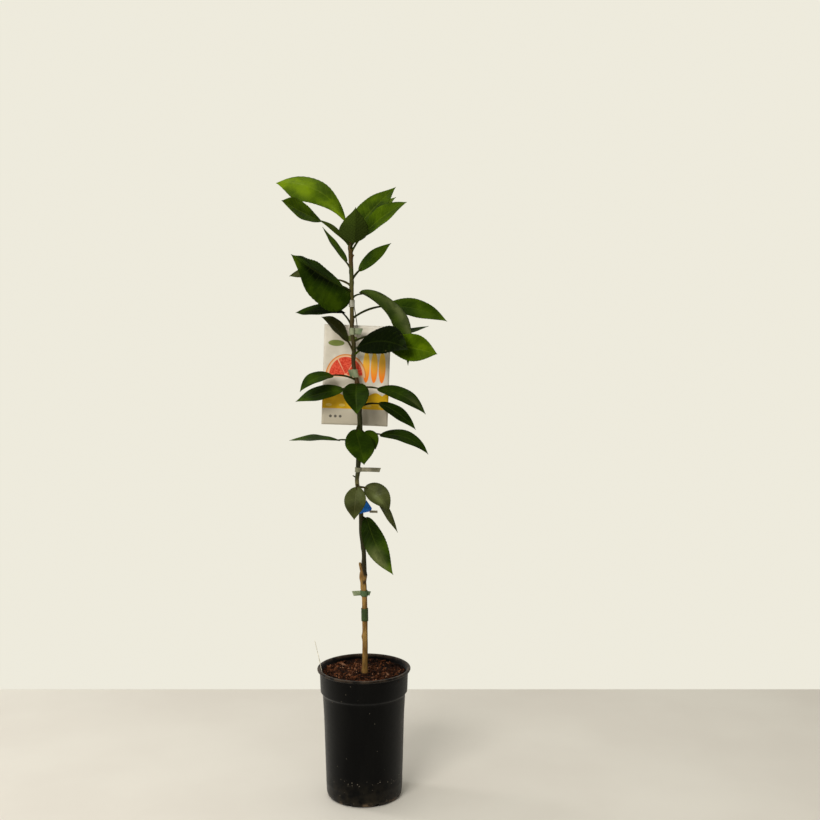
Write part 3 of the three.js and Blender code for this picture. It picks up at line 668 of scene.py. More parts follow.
def blade_grid(leaf, rib, seed):
    length, width = leaf.blade
    fold = math.radians(leaf.fold)
    upper, lower, measure = [], [], []
    for i in range(ALONG + 1):
        t = i / ALONG
        along, side, face = blade_axes(leaf, t)
        reach = half_width(leaf, t)
        middle = point_on(rib, t)
        for j in range(ACROSS + 1):
            x = -1 + 2 * j / ACROSS
            crease = math.sqrt(x * x + 0.0016) - 0.04
            lift = crease * reach * math.sin(fold)
            lift += WAVE * width * margin_wave(t, x, seed) * math.sin(math.pi * t)
            lift += vein_swell(t, x, reach)
            back = leaf.more.get("lobe", 0) * length * max(-x, 0) * (1 - t) ** 2
            notch = 1 + SERRATION * math.sin(2 * math.pi * 19 * t + seed * 9) * abs(x) ** 6
            place = middle + side * (x * reach * notch * math.cos(fold)) + face * lift - along * back
            rib_shape = math.exp(-(x * reach / RIB_WIDTH) ** 2) * (1 - 0.75 * t)
            thick = HALF_THICK - EDGE_LOSS * x ** 4
            upper.append(place + face * (thick - GROOVE * rib_shape))
            lower.append(place - face * (thick + RIDGE * rib_shape))
            measure.append((t, x))
    return np.array(upper), np.array(lower), measure


print("blade beside its midrib:", 2 * HALF_THICK, "mm thick, with a ridge of", RIDGE, "mm under the midrib")

# %% Faces that close two grids into one thin solid
def grid_faces(rows, columns, offset, turned):
    faces = []
    for i in range(rows):
        for j in range(columns):
            a = offset + i * (columns + 1) + j
            corners = (a, a + 1, a + columns + 2, a + columns + 1)
            faces.append(corners[::-1] if turned else corners)
    return faces


def rim_loop(rows, columns):
    width = columns + 1
    loop = list(range(columns))
    loop += [i * width + columns for i in range(rows)]
    loop += [rows * width + j for j in range(columns, 0, -1)]
    loop += [i * width for i in range(rows, 0, -1)]
    return loop


def close_sheet(rows, columns, offset=0):
    count = (rows + 1) * (columns + 1)
    faces = grid_faces(rows, columns, offset, False) + grid_faces(rows, columns, offset + count, True)
    loop = rim_loop(rows, columns)
    for a, b in zip(loop, loop[1:] + loop[:1]):
        faces.append((offset + b, offset + a, offset + count + a, offset + count + b))
    return faces


print("cells on one blade:", 2 * ALONG * ACROSS)

# %% Tubes, for stalks, stubs and straps
def tube(rings, offset=0):
    """rings is a list of closed rings of points, all of one length; the ends are capped."""
    sides = len(rings[0])
    faces = []
    for i in range(len(rings) - 1):
        for k in range(sides):
            a, b = i * sides + k, i * sides + (k + 1) % sides
            faces.append((offset + a, offset + b, offset + b + sides, offset + a + sides))
    last = (len(rings) - 1) * sides
    faces.append(tuple(offset + k for k in reversed(range(sides))))
    faces.append(tuple(offset + last + k for k in range(sides)))
    return np.concatenate(rings), faces


def ring(centre, across, over, sides):
    turns = [2 * math.pi * k / sides for k in range(sides)]
    return np.array([centre + across * math.cos(a) + over * math.sin(a) for a in turns])


STALK_STEPS, STALK_SIDES = 16, 12


def stalk_rings(leaf, rib):
    length = leaf.stalk[0]
    start, stem_radius = stem_at(leaf.at)
    end = point_on(rib, STALK_SUNK / leaf.blade[0])
    middle = (start + rib[0]) / 2 + np.array([0, 0, length * 0.2])
    side = blade_axes(leaf, 0)[1]
    rings = []
    for i in range(STALK_STEPS + 1):
        s = i / STALK_STEPS
        centre = curve(start, middle, end, s)
        along = unit((middle - start) * (1 - s) + (end - middle) * s)
        over = unit(np.cross(along, side))
        across = np.cross(over, along)
        radius = between(STALK_RADIUS, s)
        reach = np.linalg.norm(centre - start)
        radius *= 1 + 0.35 * math.exp(-((reach - stem_radius) / 2.2) ** 2)
        radius *= 1 - 0.55 * max(0, (s - 0.85) / 0.15)
        wing = leaf.more.get("wing", 0.5) * math.sin(math.pi * s) ** 2
        rings.append(ring(centre, across * (radius + wing), over * radius, STALK_SIDES))
    return rings


print("a stalk has", (STALK_STEPS + 1) * STALK_SIDES, "points")

# %% Turn points and faces into a piece that rides on the frame
def make_piece(name, points, faces, material, nodes, smooth=True):
    mesh = bpy.data.meshes.new(name)
    mesh.from_pydata([tuple(p * MM) for p in np.asarray(points)], [], faces)
    mesh.validate()
    mesh.materials.append(material)
    mesh.polygons.foreach_set("use_smooth", [smooth] * len(mesh.polygons))
    mesh.update()
    piece = bpy.data.objects.new(name, mesh)
    bpy.context.collection.objects.link(piece)
    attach(piece, "root")
    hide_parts(*nodes)
    return piece


def mark_points(piece, name, values):
    layer = piece.data.attributes.new(name, "FLOAT", "POINT")
    layer.data.foreach_set("value", np.asarray(values, dtype=np.float32))


def lay_measure(piece, name, measure):
    layer = piece.data.uv_layers.new(name=name)
    corners = np.zeros(len(piece.data.loops), dtype=np.int32)
    piece.data.loops.foreach_get("vertex_index", corners)
    layer.data.foreach_set("uv", np.asarray(measure, dtype=np.float32)[corners].ravel())


print("piece helpers ready")

# %% Grow every leaf
def mark_sum(marks, s, c):
    """Adds up soft round marks of painted light and shade, each with its place along and across, its two
    reaches and its strength.
    """
    return sum(m[4] * math.exp(-((s - m[0]) / m[2]) ** 2 - ((c - m[1]) / m[3]) ** 2) for m in marks)


def grow_leaf(name, leaf, seed):
    rib = walk_midrib(leaf)
    upper, lower, measure = blade_grid(leaf, rib, seed)
    faces = close_sheet(ALONG, ACROSS)
    stalk_points, stalk_faces = tube(stalk_rings(leaf, rib), offset=len(upper) * 2)
    points = np.concatenate([upper, lower, stalk_points])
    piece = make_piece(name + "_fine", points, faces + stalk_faces, leaf_finishes[leaf.kind], [name])
    blade, stalk = len(upper), len(stalk_points)
    base, marks, pale = leaf.more["tone"], leaf.more.get("marks", ()), leaf.more.get("pale", ())
    # The tone marks paint light and shade onto each leaf's own tone, and the pale marks paint sheen.
    toned = [base + mark_sum(marks, s, c) for s, c in measure]
    paled = [min(mark_sum(pale, s, c), 1) for s, c in measure]
    mark_points(piece, "under", [0] * blade + [leaf.more.get("under", 1)] * blade + [0] * stalk)
    mark_points(piece, "stalk", [0] * blade * 2 + [1] * stalk)
    mark_points(piece, "tone", toned * 2 + [base] * stalk)
    mark_points(piece, "pale", paled * 2 + [0] * stalk)
    lay_measure(piece, "blade", measure * 2 + [(0, 0.5)] * stalk)
    return piece


SEED_STEP = 0.37
leaf_pieces = [grow_leaf(name, leaf, i * SEED_STEP) for i, (name, leaf) in enumerate(LEAVES.items())]
print("leaf faces in all:", sum(len(p.data.polygons) for p in leaf_pieces))

# %% [markdown]
# ## Bark
#
# Young citrus bark is smooth, with faint upright furrows, pale breathing pores and a small cushion under each
# leaf. Below the graft it is tan and a little rougher. The relief is real geometry, so that the outline
# shows it, and only fine streaks and the pores are left to a bump.

# %% Relief of the bark
TAN_TOP, GRAFT_AT = 352, 368
# height, heading, how far it stands out and how tall it is; the leaf cushions follow from the leaves
KNOTS = [(269, 180, 1.5, 4.5), (301, 20, 0.7, 4), (233, 320, 0.6, 5), (361, 315, -1.3, 5), (372, 340, 0.9, 6),
         (352, 200, 0.8, 5), (418, 190, 0.5, 4), (512, 10, 0.9, 6), (505, 200, 0.5, 4), (560, 350, 0.7, 4)]
KNOTS += [(leaf.at - 3, leaf.stalk[1], 0.75, 3.6) for leaf in LEAVES.values()]


def bark_relief(z, angle):
    x, y = math.cos(angle), math.sin(angle)
    furrow = noise.noise(Vector((x * 2.6, y * 2.6, z * 0.035)))
    fine = noise.noise(Vector((x * 6, y * 6, z * 0.11 + 40)))
    push = 0.14 * furrow + 0.07 * fine
    if z < TAN_TOP:
        push += 0.16 * noise.noise(Vector((x * 4, y * 4, z * 0.07 + 9))) + 0.1 * math.sin(z * 0.13)
    graft = math.exp(-((z - GRAFT_AT) / 13) ** 2)
    push += graft * 0.55 * noise.noise(Vector((x * 3.2, y * 3.2, z * 0.16 + 77)))
    for at, heading, size, height in KNOTS:
        away = abs((math.degrees(angle) - heading + 180) % 360 - 180)
        push += size * math.exp(-((z - at) / height) ** 2 - (away / 52) ** 2)
    return push


STEM_FOOT, STEM_END, THINNEST = 203.0, 924.01, 0.8


def stem_rings(spacing=1.3, sides=44):
    rings = []
    for z in np.arange(STEM_FOOT, STEM_END, spacing):
        centre, radius = stem_at(z)
        turns = [2 * math.pi * k / sides for k in range(sides)]
        out = [max(radius + bark_relief(z, a), THINNEST) for a in turns]
        circle = [centre + np.array([math.cos(a) * r, math.sin(a) * r, 0]) for a, r in zip(turns, out)]
        rings.append(np.array(circle))
    return rings


def stub_rings(stub, steps=14, sides=18):
    at, heading, rise, length, thick, thin = stub
    centre = stem_at(at)[0]
    along = direction(heading, rise)
    right = unit(np.cross(along, np.array([0, 0, 1])))
    up = np.cross(right, along)
    rings = []
    for i in range(steps + 1):
        s = i / steps
        radius = between((thick, thin), s)
        radius *= 1 + 0.08 * noise.noise(Vector((at, s * 6, 3))) - (0.25 * max(0, s - 0.9) / 0.1)
        rings.append(ring(centre + along * s * length, up * radius, right * radius, sides))
    return rings


print("knots and leaf cushions:", len(KNOTS))

# %% Where the rootstock ends, and the painted shade of the hollow at the graft
def turns_about(points):
    return np.arctan2(points[:, 1] - 0.5, points[:, 0] + 0.5)


def rootstock_share(points):
    """How much of each point's bark is the rootstock's: it reaches higher on the left of the graft."""
    limit = 371 + 20 * np.maximum(0, np.cos(turns_about(points) - math.radians(195)))
    return np.clip((limit - points[:, 2]) / 6 + 0.5, 0, 1)


def hollow_shade_share(points):
    """How much of each point lies in the hollow low on the front of the graft, where its shade is painted
    dark.
    """
    away = np.abs((np.degrees(turns_about(points)) - 295 + 180) % 360 - 180)
    return np.exp(-((points[:, 2] - 361) / 4.0) ** 2 - (away / 40) ** 2)


points, faces = tube(stem_rings())
rootstock, hollow_shade = list(rootstock_share(points)), list(hollow_shade_share(points))
for stub in STUBS:
    stub_points, stub_faces = tube(stub_rings(stub), offset=len(points))
    points, faces = np.concatenate([points, stub_points]), faces + stub_faces
    rootstock += [1 if stub is STUBS[0] else 0] * len(stub_points)
    hollow_shade += [0] * len(stub_points)
print("stem faces:", len(faces))

# %% Bark material, coloured by height
RAMP_FOOT = 0.1
BARK_TONES = [
    (0.340, paint(42, 34, 16)), (0.400, paint(40, 38, 16)), (0.440, paint(44, 48, 18)),
    (0.505, paint(78, 76, 44)), (0.520, paint(124, 116, 76)), (0.534, paint(60, 62, 28)),
    (0.550, paint(38, 44, 14)), (0.640, paint(46, 50, 16)), (0.690, paint(84, 58, 30)),
    (0.730, paint(46, 46, 16)), (0.790, paint(80, 68, 30)), (0.835, paint(88, 84, 36)),
    (0.870, paint(58, 68, 18)), (0.888, paint(84, 58, 22)), (0.924, paint(78, 72, 24)),
]


def bark_material():
    material, tree, shader = new_material("stem_bark")
    height = parts_of(tree, on_object(tree))["Z"]
    streak = use(tree, mottle, Stretch=(1.0, 1.0, 0.12), Scale=420.0, Detail=6.0)["Value"]
    patch = use(tree, mottle, Stretch=(1.0, 1.0, 0.5), Scale=90.0, Detail=4.0)["Value"]
    shifted = calc(tree, "MULTIPLY_ADD", calc(tree, "SUBTRACT", patch, 0.5), 0.02, height)
    level = calc(tree, "SUBTRACT", shifted, RAMP_FOOT)
    scion = colour_steps(tree, level, [(z - RAMP_FOOT, colour) for z, colour in BARK_TONES])
    tan = mix(tree, patch, paint(122, 88, 40), paint(168, 132, 72))
    colour = mix(tree, marked(tree, "rootstock"), scion, tan)
    # Painted shade: the hollow low on the front of the graft is painted near black.
    colour = mix(tree, marked(tree, "hollow_shade"), colour, paint(30, 22, 12))
    colour = mix(tree, calc(tree, "MULTIPLY", streak, 0.4), colour, paint(40, 30, 14))
    pores = use(tree, specks, Scale=700.0, Size=0.24, Share=0.16)["Mask"]
    colour = mix(tree, calc(tree, "MULTIPLY", pores, 0.45), colour, paint(150, 128, 88))
    tree.links.new(colour, shader.inputs["Base Color"])
    tree.links.new(calc(tree, "MULTIPLY_ADD", streak, 0.2, 0.5), shader.inputs["Roughness"])
    shader.inputs["Specular IOR Level"].default_value = 0.2
    roughen(tree, shader, calc(tree, "ADD", streak, calc(tree, "MULTIPLY", pores, 0.6)), 0.0004, 0.7)
    return material


trunk_piece = make_piece("trunk_bark", points, faces, bark_material(), ["trunk"])
mark_points(trunk_piece, "rootstock", rootstock)
mark_points(trunk_piece, "hollow_shade", hollow_shade)
print("stem top:", round(max(p[2] for p in points) * MM, 3), "m")

# %% [markdown]
# ## The pot
#
# A nursery pot is blown or moulded from black plastic: a rolled lip, a stiff collar, a plain wall with a
# slight taper, and a foot that turns in, with drain slots cut through its edge. A turned profile with rounded
# corners gives all of that but the slots, which are cut out of it afterwards.

# %% Turned profile of the pot, radius and height in millimetres
POT_PROFILE = [
    (0, 0.9), (40, 0.9), (52, 0.6), (55.5, 0), (57.8, 0), (58.8, 0.3), (60.4, 1.6), (61.6, 3.6), (62.5, 6.4),
    (63.0, 10), (63.2, 14), (63.55, 24.6), (63.75, 25.6), (63.6, 26.6), (64.2, 45), (65.4, 90), (66.6, 135),
    (67.9, 160), (68.45, 171), (68.9, 174.2), (69.6, 175.6), (71.3, 177.2), (72.0, 178.4), (72.2, 180),
    (72.7, 196), (73.3, 210.6), (73.5, 211.8), (74.4, 212.5), (75.8, 212.7), (76.8, 213.3), (77.3, 214.4),
    (77.4, 215.4), (77.1, 216.3), (76.2, 216.9), (75.2, 217), (73.6, 216.9), (72.6, 216.5), (72.0, 215.6),
    (71.8, 214), (71.3, 200), (70.6, 180), (70.3, 177.6), (67.9, 174.6), (67.3, 172.8), (66.3, 160),
    (63.8, 90), (62.0, 40), (61.4, 11), (60.2, 5.6), (58.4, 3.2), (56, 2.4), (0, 2.4),
]


def lathe(profile, segments):
    points, faces = [], []
    for r, z in profile:
        if r == 0:
            points.append((0, 0, z))
            continue
        for k in range(segments):
            a = 2 * math.pi * k / segments
            points.append((r * math.cos(a), r * math.sin(a), z))
    starts, index = [], 0
    for r, _ in profile:
        starts.append((index, r == 0))
        index += 1 if r == 0 else segments
    for (a, a_point), (b, b_point) in zip(starts, starts[1:]):
        for k in range(segments):
            n = (k + 1) % segments
            if a_point:
                faces.append((a, b + n, b + k))
            elif b_point:
                faces.append((a + k, a + n, b))
            else:
                faces.append((a + k, a + n, b + n, b + k))
    return np.array(points, float), faces


POT_SEGMENTS = 160
pot_points, pot_faces = lathe(POT_PROFILE, POT_SEGMENTS)
print("pot faces:", len(pot_faces))

# %% Black plastic
def pot_dirt(tree, height, scuffs):
    """Light grit all over, splashes in a band near the foot, and a stain along the foot's edge."""
    splash = spread(tree, height, 0.034, 0.041)
    splash = calc(tree, "MULTIPLY", splash, spread(tree, height, 0.047, 0.043))
    drops = use(tree, specks, Scale=330.0, Size=0.3, Share=0.2)["Mask"]
    grit = use(tree, specks, Scale=260.0, Size=0.14, Share=0.05)["Mask"]
    grit = calc(tree, "MAXIMUM", grit, calc(tree, "MULTIPLY", splash, drops))
    clods = use(tree, mottle, Scale=34.0, Detail=3.0)["Value"]
    edge = calc(tree, "MULTIPLY", spread(tree, height, 0.010, 0.003), spread(tree, scuffs, 0.45, 0.65))
    edge = calc(tree, "MULTIPLY", edge, spread(tree, clods, 0.35, 0.8))
    return grit, edge


def pot_material():
    material, tree, shader = new_material("pot_plastic")
    cloud = use(tree, mottle, Stretch=(1.0, 1.0, 0.25), Scale=26.0, Detail=5.0)["Value"]
    scuffs = use(tree, mottle, Stretch=(1.0, 1.0, 3.0), Scale=150.0, Detail=8.0)["Value"]
    foot = use(tree, dust, Foot=0.0, Top=0.05, Amount=0.5)["Mask"]
    lip = use(tree, dust, Foot=0.2175, Top=0.2115, Amount=0.9)["Mask"]
    grit, edge = pot_dirt(tree, parts_of(tree, on_object(tree))["Z"], scuffs)
    colour = mix(tree, cloud, paint(2, 2, 2), paint(9, 9, 8))
    colour = mix(tree, calc(tree, "MULTIPLY", foot, 0.55), colour, paint(78, 70, 56))
    colour = mix(tree, calc(tree, "MULTIPLY", lip, 0.6), colour, paint(98, 82, 68))
    colour = mix(tree, calc(tree, "MULTIPLY", grit, 0.6), colour, paint(140, 132, 118))
    colour = mix(tree, calc(tree, "MULTIPLY", edge, 0.85), colour, paint(112, 94, 74))
    tree.links.new(colour, shader.inputs["Base Color"])
    rough = calc(tree, "MULTIPLY_ADD", foot, 0.3, 0.36)
    tree.links.new(calc(tree, "MULTIPLY_ADD", scuffs, 0.12, rough), shader.inputs["Roughness"])
    roughen(tree, shader, scuffs, 0.0002, 0.25)
    shader.inputs["Specular IOR Level"].default_value = 0.05
    shader.inputs["Sheen Weight"].default_value = 0.12
    shader.inputs["Sheen Roughness"].default_value = 0.45
    return material


pot_piece = make_piece("pot_shell", pot_points, pot_faces, pot_material(), ["pot"])
print("pot across:", round(pot_piece.dimensions.x, 4), "m")

# %% Cut the drain slots
SLOT_HEIGHTS = (-3, 5.5)
SLOT_OUTLINE = ((57.4, -4), (66, -4), (66, 4), (57.4, 4))
BOX_FACES = ((3, 2, 1, 0), (4, 5, 6, 7), (0, 1, 5, 4), (1, 2, 6, 5), (2, 3, 7, 6), (3, 0, 4, 7))


def slot_boxes(count):
    points, faces = [], []
    for i in range(count):
        turn = (i + 0.5) * 2 * math.pi / count
        out = np.array([math.cos(turn), math.sin(turn), 0])
        across = np.array([-math.sin(turn), math.cos(turn), 0])
        start = len(points)
        for z in SLOT_HEIGHTS:
            points += [out * r + across * w + np.array([0, 0, z]) for r, w in SLOT_OUTLINE]
        faces += [tuple(start + k for k in face) for face in BOX_FACES]
    return points, faces


def cut_slots(piece, count=8):
    points, faces = slot_boxes(count)
    mesh = bpy.data.meshes.new("slot_cutters")
    mesh.from_pydata([tuple(p * MM) for p in points], [], faces)
    cutter = bpy.data.objects.new("slot_cutters", mesh)
    bpy.context.collection.objects.link(cutter)
    cut = piece.modifiers.new("slots", "BOOLEAN")
    cut.operation = "DIFFERENCE"
    cut.object = cutter
    cut.solver = "EXACT"
    bpy.context.view_layer.update()
    evaluated = piece.evaluated_get(bpy.context.evaluated_depsgraph_get())
    cut_mesh = bpy.data.meshes.new_from_object(evaluated)
    piece.modifiers.clear()
    piece.data = cut_mesh
    bpy.data.objects.remove(cutter)
    return len(cut_mesh.polygons)


print("pot faces after the cuts:", cut_slots(pot_piece))

# %% [markdown]
# ## Soil
#
# The mix is crumbs of dark red-brown bark and peat. One bumpy sheet would look like mud, so a rough bed
# fills the pot and many separate chips lie on it, each a squashed, knocked-about ball with a tint of its
# own. The chips are dealt out by chance, from a fixed seed, so that each run gives the same soil.

# %% Bed
BED_REACH, BED_LEVELS = (0, 16, 32, 52, 71.5), (208.9, 208.9, 207.8, 206.7, 208.2)
BED_EDGE, BED_SUNK = 71.2, 1.2
POT_INSIDE = [(70.0, 180), (67.2, 174), (65.9, 160), (63.4, 90), (61.6, 40), (61.0, 12), (57.5, 3.2),
              (0, 3.2)]


def soil_height(x, y):
    r = math.hypot(x, y)
    dip = np.interp(r, BED_REACH, BED_LEVELS) + 2.0 * y / 72
    bumps = noise.noise(Vector((x * 0.11, y * 0.11, 5)))
    crumbs = noise.noise(Vector((x * 0.33, y * 0.33, 1)))
    return dip - BED_SUNK + 1.1 * bumps + 0.6 * crumbs


def soil_bed(rows=46, segments=120):
    radii = [0] + [BED_EDGE * (i + 1) / rows for i in range(rows)]
    points, faces = lathe([(r, 0) for r in radii] + POT_INSIDE, segments)
    for p in points[: 1 + rows * segments]:
        p[2] = soil_height(p[0], p[1])
    return points, [f[::-1] for f in faces]


print("bed in the middle:", round(soil_height(0, 0), 1), "mm")

# %% Chips
random.seed(7)
CHIP_SPREAD, CHIP_COUNT = 67.5, 1500
ball = bmesh.new()
bmesh.ops.create_icosphere(ball, subdivisions=2, radius=1)
CHIP_BALL = np.array([tuple(v.co) for v in ball.verts])
CHIP_FACES = [tuple(v.index for v in f.verts) for f in ball.faces]
ball.free()


def chip(x, y, size, flat):
    tilt = [random.uniform(-0.5, 0.5), random.uniform(-0.5, 0.5), random.uniform(0, 6.28)]
    turn = np.array(Euler(tilt).to_matrix())
    stretch = [size * random.uniform(1.0, 2.4), size * random.uniform(0.4, 0.8), size * flat]
    shape = CHIP_BALL * np.array(stretch)
    shift = Vector((random.uniform(0, 50), 0, 0))
    rough = np.array([1 + 0.45 * noise.noise(Vector(p * 1.6) + shift) for p in CHIP_BALL])
    rise = soil_height(x, y) + size * flat * random.uniform(0.1, 0.6)
    return shape * rough[:, None] @ turn.T + np.array([x, y, rise])


def scatter_chips(count):
    """Four chips in five are small, and one in twenty is pale."""
    points, faces, tints = [], [], []
    for i in range(count):
        turn = random.uniform(0, 2 * math.pi)
        reach = CHIP_SPREAD * math.sqrt(random.uniform(0.012, 1))
        size = random.uniform(0.8, 1.9) if i % 5 else random.uniform(2.0, 3.6)
        tint = random.uniform(0, 0.75) if random.random() < 0.95 else random.uniform(0.8, 1)
        start = len(points) * len(CHIP_BALL)
        points.append(chip(reach * math.cos(turn), reach * math.sin(turn), size, random.uniform(0.3, 0.7)))
        faces += [tuple(start + k for k in f) for f in CHIP_FACES]
        tints += [tint] * len(CHIP_BALL)
    return np.concatenate(points), faces, tints


print("points in a chip:", len(CHIP_BALL))

# %% Soil material and pieces
BED_TINT = 0.15
SOIL_TONES = [(0.0, paint(18, 8, 4)), (0.35, paint(50, 25, 12)), (0.75, paint(104, 60, 34)),
              (1.0, paint(140, 104, 80))]


def soil_material():
    material, tree, shader = new_material("bark_and_peat")
    grain = use(tree, mottle, Scale=700.0, Detail=6.0)["Value"]
    damp = use(tree, mottle, Scale=55.0, Detail=3.0)["Value"]
    level = calc(tree, "MULTIPLY_ADD", calc(tree, "SUBTRACT", grain, 0.5), 0.3, marked(tree, "tint"))
    level = calc(tree, "MULTIPLY_ADD", calc(tree, "SUBTRACT", damp, 0.6), 0.45, level)
    tree.links.new(colour_steps(tree, level, SOIL_TONES), shader.inputs["Base Color"])
    shader.inputs["Roughness"].default_value = 0.92
    shader.inputs["Specular IOR Level"].default_value = 0.1
    roughen(tree, shader, grain, 0.0008, 0.9)
    return material


soil_finish = soil_material()
points, faces = soil_bed()
bed_piece = make_piece("soil_bed", points, faces, soil_finish, ["soil"])
mark_points(bed_piece, "tint", [BED_TINT] * len(points))
points, faces, tints = scatter_chips(CHIP_COUNT)
chip_piece = make_piece("soil_chips", points, faces, soil_finish, ["soil"], smooth=False)
mark_points(chip_piece, "tint", tints)
print("chip faces:", len(faces))

# %% [markdown]
# ## Ties, tapes and tag
#
# Soft ties are strips of matt plastic wound round the stem, and most have a loose tail or two. Each is a
# closed sleeve that hugs the bark a little unevenly, with its tails as thin curling strips. A cloth
# simulation could drape them, but a gentle wave is all that shows at this size.

# %% Sleeves
# height of the middle, height of the sleeve, and for each tail how far across it ends and its own height
TIES = {
    "tie_low": (342, 9.5, [(-19.5, 8), (12, 7)]),
    "graft_tape": (306, 21, []),
    "tie_middle": (548, 7.5, [(29, 7)]),
    "tie_card": (706, 13, [(-24.5, 12)]),
    "tie_high": (774, 11, [(0.5, 10)]),
}


def sleeve_ring(at, share, height, clear, crumpled, sides):
    z = at + (share - 0.5) * height
    centre, radius = stem_at(z)
    radius += clear
    circle = []
    for k in range(sides):
        a = 2 * math.pi * k / sides
        crumple = 0.22 * noise.noise(Vector((math.cos(a) * 2, math.sin(a) * 2, z * 0.5)))
        edge = 0.35 * math.sin(a * 3 + at) * (share - 0.5)
        out = radius + (crumple if crumpled else 0)
        circle.append(centre + np.array([math.cos(a) * out, math.sin(a) * out, edge]))
    return np.array(circle)


def sleeve(at, height, thickness=0.9, gap=0.45, rows=12, sides=40, offset=0):
    """Goes up the outside and down the inside, and closes on itself."""
    shares = [i / rows for i in range(rows + 1)]
    rings = [sleeve_ring(at, s, height, gap + thickness, True, sides) for s in shares]
    rings += [sleeve_ring(at, 1 - s, height, gap, False, sides) for s in shares]
    faces = []
    for i in range(len(rings)):
        a, b = offset + i * sides, offset + (i + 1) % len(rings) * sides
        for k in range(sides):
            m = (k + 1) % sides
            faces.append((a + k, a + m, b + m, b + k))
    return np.concatenate(rings), faces


print("ties:", len(TIES))

# %% Tails, and shapes joined into one piece
def tail(at, to, height, thickness=0.5, rows=6, columns=24, offset=0):
    centre, radius = stem_at(at)
    sign = 1 if to > centre[0] else -1
    start = centre[0] + sign * (radius + 0.6)
    length = abs(to - start)
    sheets = [[], []]
    for i in range(rows + 1):
        up = i / rows - 0.5
        for j in range(columns + 1):
            along = j / columns
            reach = along * (length - height * 0.35 * (0.5 - up))
            curl = 1.1 * math.sin(along * 3.0 + at) * along + 0.5 * up * along
            sag = -0.6 * along * along
            for sheet, side in zip(sheets, (-0.5, 0.5)):
                deep = centre[1] + curl + side * thickness
                sheet.append([start + sign * reach, deep, at + up * height + sag])
    return np.array(sheets[0] + sheets[1]), close_sheet(rows, columns, offset)


def join(*shapes):
    points, faces = np.zeros((0, 3)), []
    for shape in shapes:
        made, added = shape(len(points))
        points, faces = np.concatenate([points, made]), faces + added
    return points, faces


def tidy_normals(piece):
    work = bmesh.new()
    work.from_mesh(piece.data)
    bmesh.ops.recalc_face_normals(work, faces=work.faces)
    work.to_mesh(piece.data)
    work.free()


print("shape helpers ready")

# %% Soft plastic, and the ties
RIGHT_OF_STEM = (-0.0065, -0.0045)


def plastic(name, low, high, rough, scale=60.0, on_stem=None):
    """Thin plastic in two tones; where on_stem is given, it shows from the stem's edge to the right."""
    material, tree, shader = new_material(name)
    cloud = use(tree, mottle, Scale=scale, Detail=5.0)["Value"]
    colour = mix(tree, cloud, low, high)
    if on_stem:
        across = parts_of(tree, on_object(tree))["X"]
        colour = mix(tree, spread(tree, across, *RIGHT_OF_STEM), colour, on_stem)
    tree.links.new(colour, shader.inputs["Base Color"])
    tree.links.new(calc(tree, "MULTIPLY_ADD", cloud, 0.15, rough), shader.inputs["Roughness"])
    wrinkle = use(tree, mottle, Stretch=(1.0, 1.0, 2.5), Scale=240.0, Detail=3.0)["Value"]
    roughen(tree, shader, wrinkle, 0.0004, 0.5)
    shader.inputs["Specular IOR Level"].default_value = 0.3
    return material


soft_tape = plastic("soft_tape", paint(92, 110, 76), paint(156, 162, 130), 0.42)
tape_finishes = {
    "tie_low": plastic("stretched_tape", paint(112, 128, 92), paint(164, 170, 138), 0.42,
                       on_stem=paint(74, 98, 62)),
    "graft_tape": plastic("graft_film", paint(28, 44, 14), paint(54, 74, 32), 0.4),
    "tie_middle": plastic("faded_tape", paint(122, 122, 98), paint(170, 164, 142), 0.45),
}
for name, (at, height, tails) in TIES.items():
    shapes = [lambda n, a=at, h=height: sleeve(a, h, offset=n)]
    shapes += [lambda n, a=at, t=t: tail(a, t[0], t[1], offset=n) for t in tails]
    points, faces = join(*shapes)
    piece = make_piece(name + "_strip", points, faces, tape_finishes.get(name, soft_tape), [name])
    tidy_normals(piece)
    print(piece.name, "faces:", len(faces))

# %% Blue tag
TAG_AT = 487
FLAG = np.array([(-7, 476.2), (12.7, 480.3), (14.3, 485.3), (5.3, 498.6), (-2, 487.8)])
FLAG_STEPS = ((0.02, 0), (0.35, 0), (0.7, 0), (1, 0), (1, 1), (0.7, 1), (0.35, 1), (0.02, 1))


def flag_edge(share):
    place = share * len(FLAG)
    i = int(place) % len(FLAG)
    return FLAG[i] + (FLAG[(i + 1) % len(FLAG)] - FLAG[i]) * (place - int(place))


def flag_shape(offset, front, thickness=0.8, sides=60):
    middle = FLAG.mean(axis=0)
    rings = []
    for scale, y in FLAG_STEPS:
        circle = []
        for k in range(sides):
            x, z = middle + (flag_edge(k / sides) - middle) * scale
            curl = 0.5 * math.sin(x * 0.22) + 0.25 * math.sin(z * 0.4)
            circle.append((x, front - 0.6 - y * thickness + curl, z))
        rings.append(np.array(circle))
    return tube(rings, offset)


tag_centre, tag_radius = stem_at(TAG_AT)
tag_front = tag_centre[1] - tag_radius - 0.9
points, faces = join(lambda n: sleeve(TAG_AT, 10, offset=n), lambda n: flag_shape(n, tag_front))
blue_tape = plastic("blue_tape", paint(0, 84, 190), paint(10, 124, 232), 0.3)
tag_piece = make_piece("tag_flag", points, faces, blue_tape, ["tag_blue"])
tidy_normals(tag_piece)
print("tag faces:", len(faces))

# %% Loose end of the tag
def end_rings(start=10.5, length=12.9, steps=12):
    rings = []
    for i in range(steps + 1):
        x = start + length * i / steps
        centre = np.array([x, tag_front - 1.2 - 0.4 * math.sin(i * 0.5), 480 - 0.05 * i])
        rings.append(ring(centre, np.array([0, 0.35, 0]), np.array([0, 0, 2.0]), 16))
    return rings


points, faces = tube(end_rings())
end_tape = plastic("tag_end_tape", paint(104, 98, 80), paint(140, 134, 118), 0.4)
end_piece = make_piece("tag_end", points, faces, end_tape, ["tag_blue"])
tidy_normals(end_piece)
print("loose end:", round(end_piece.dimensions.x, 4), "m long")

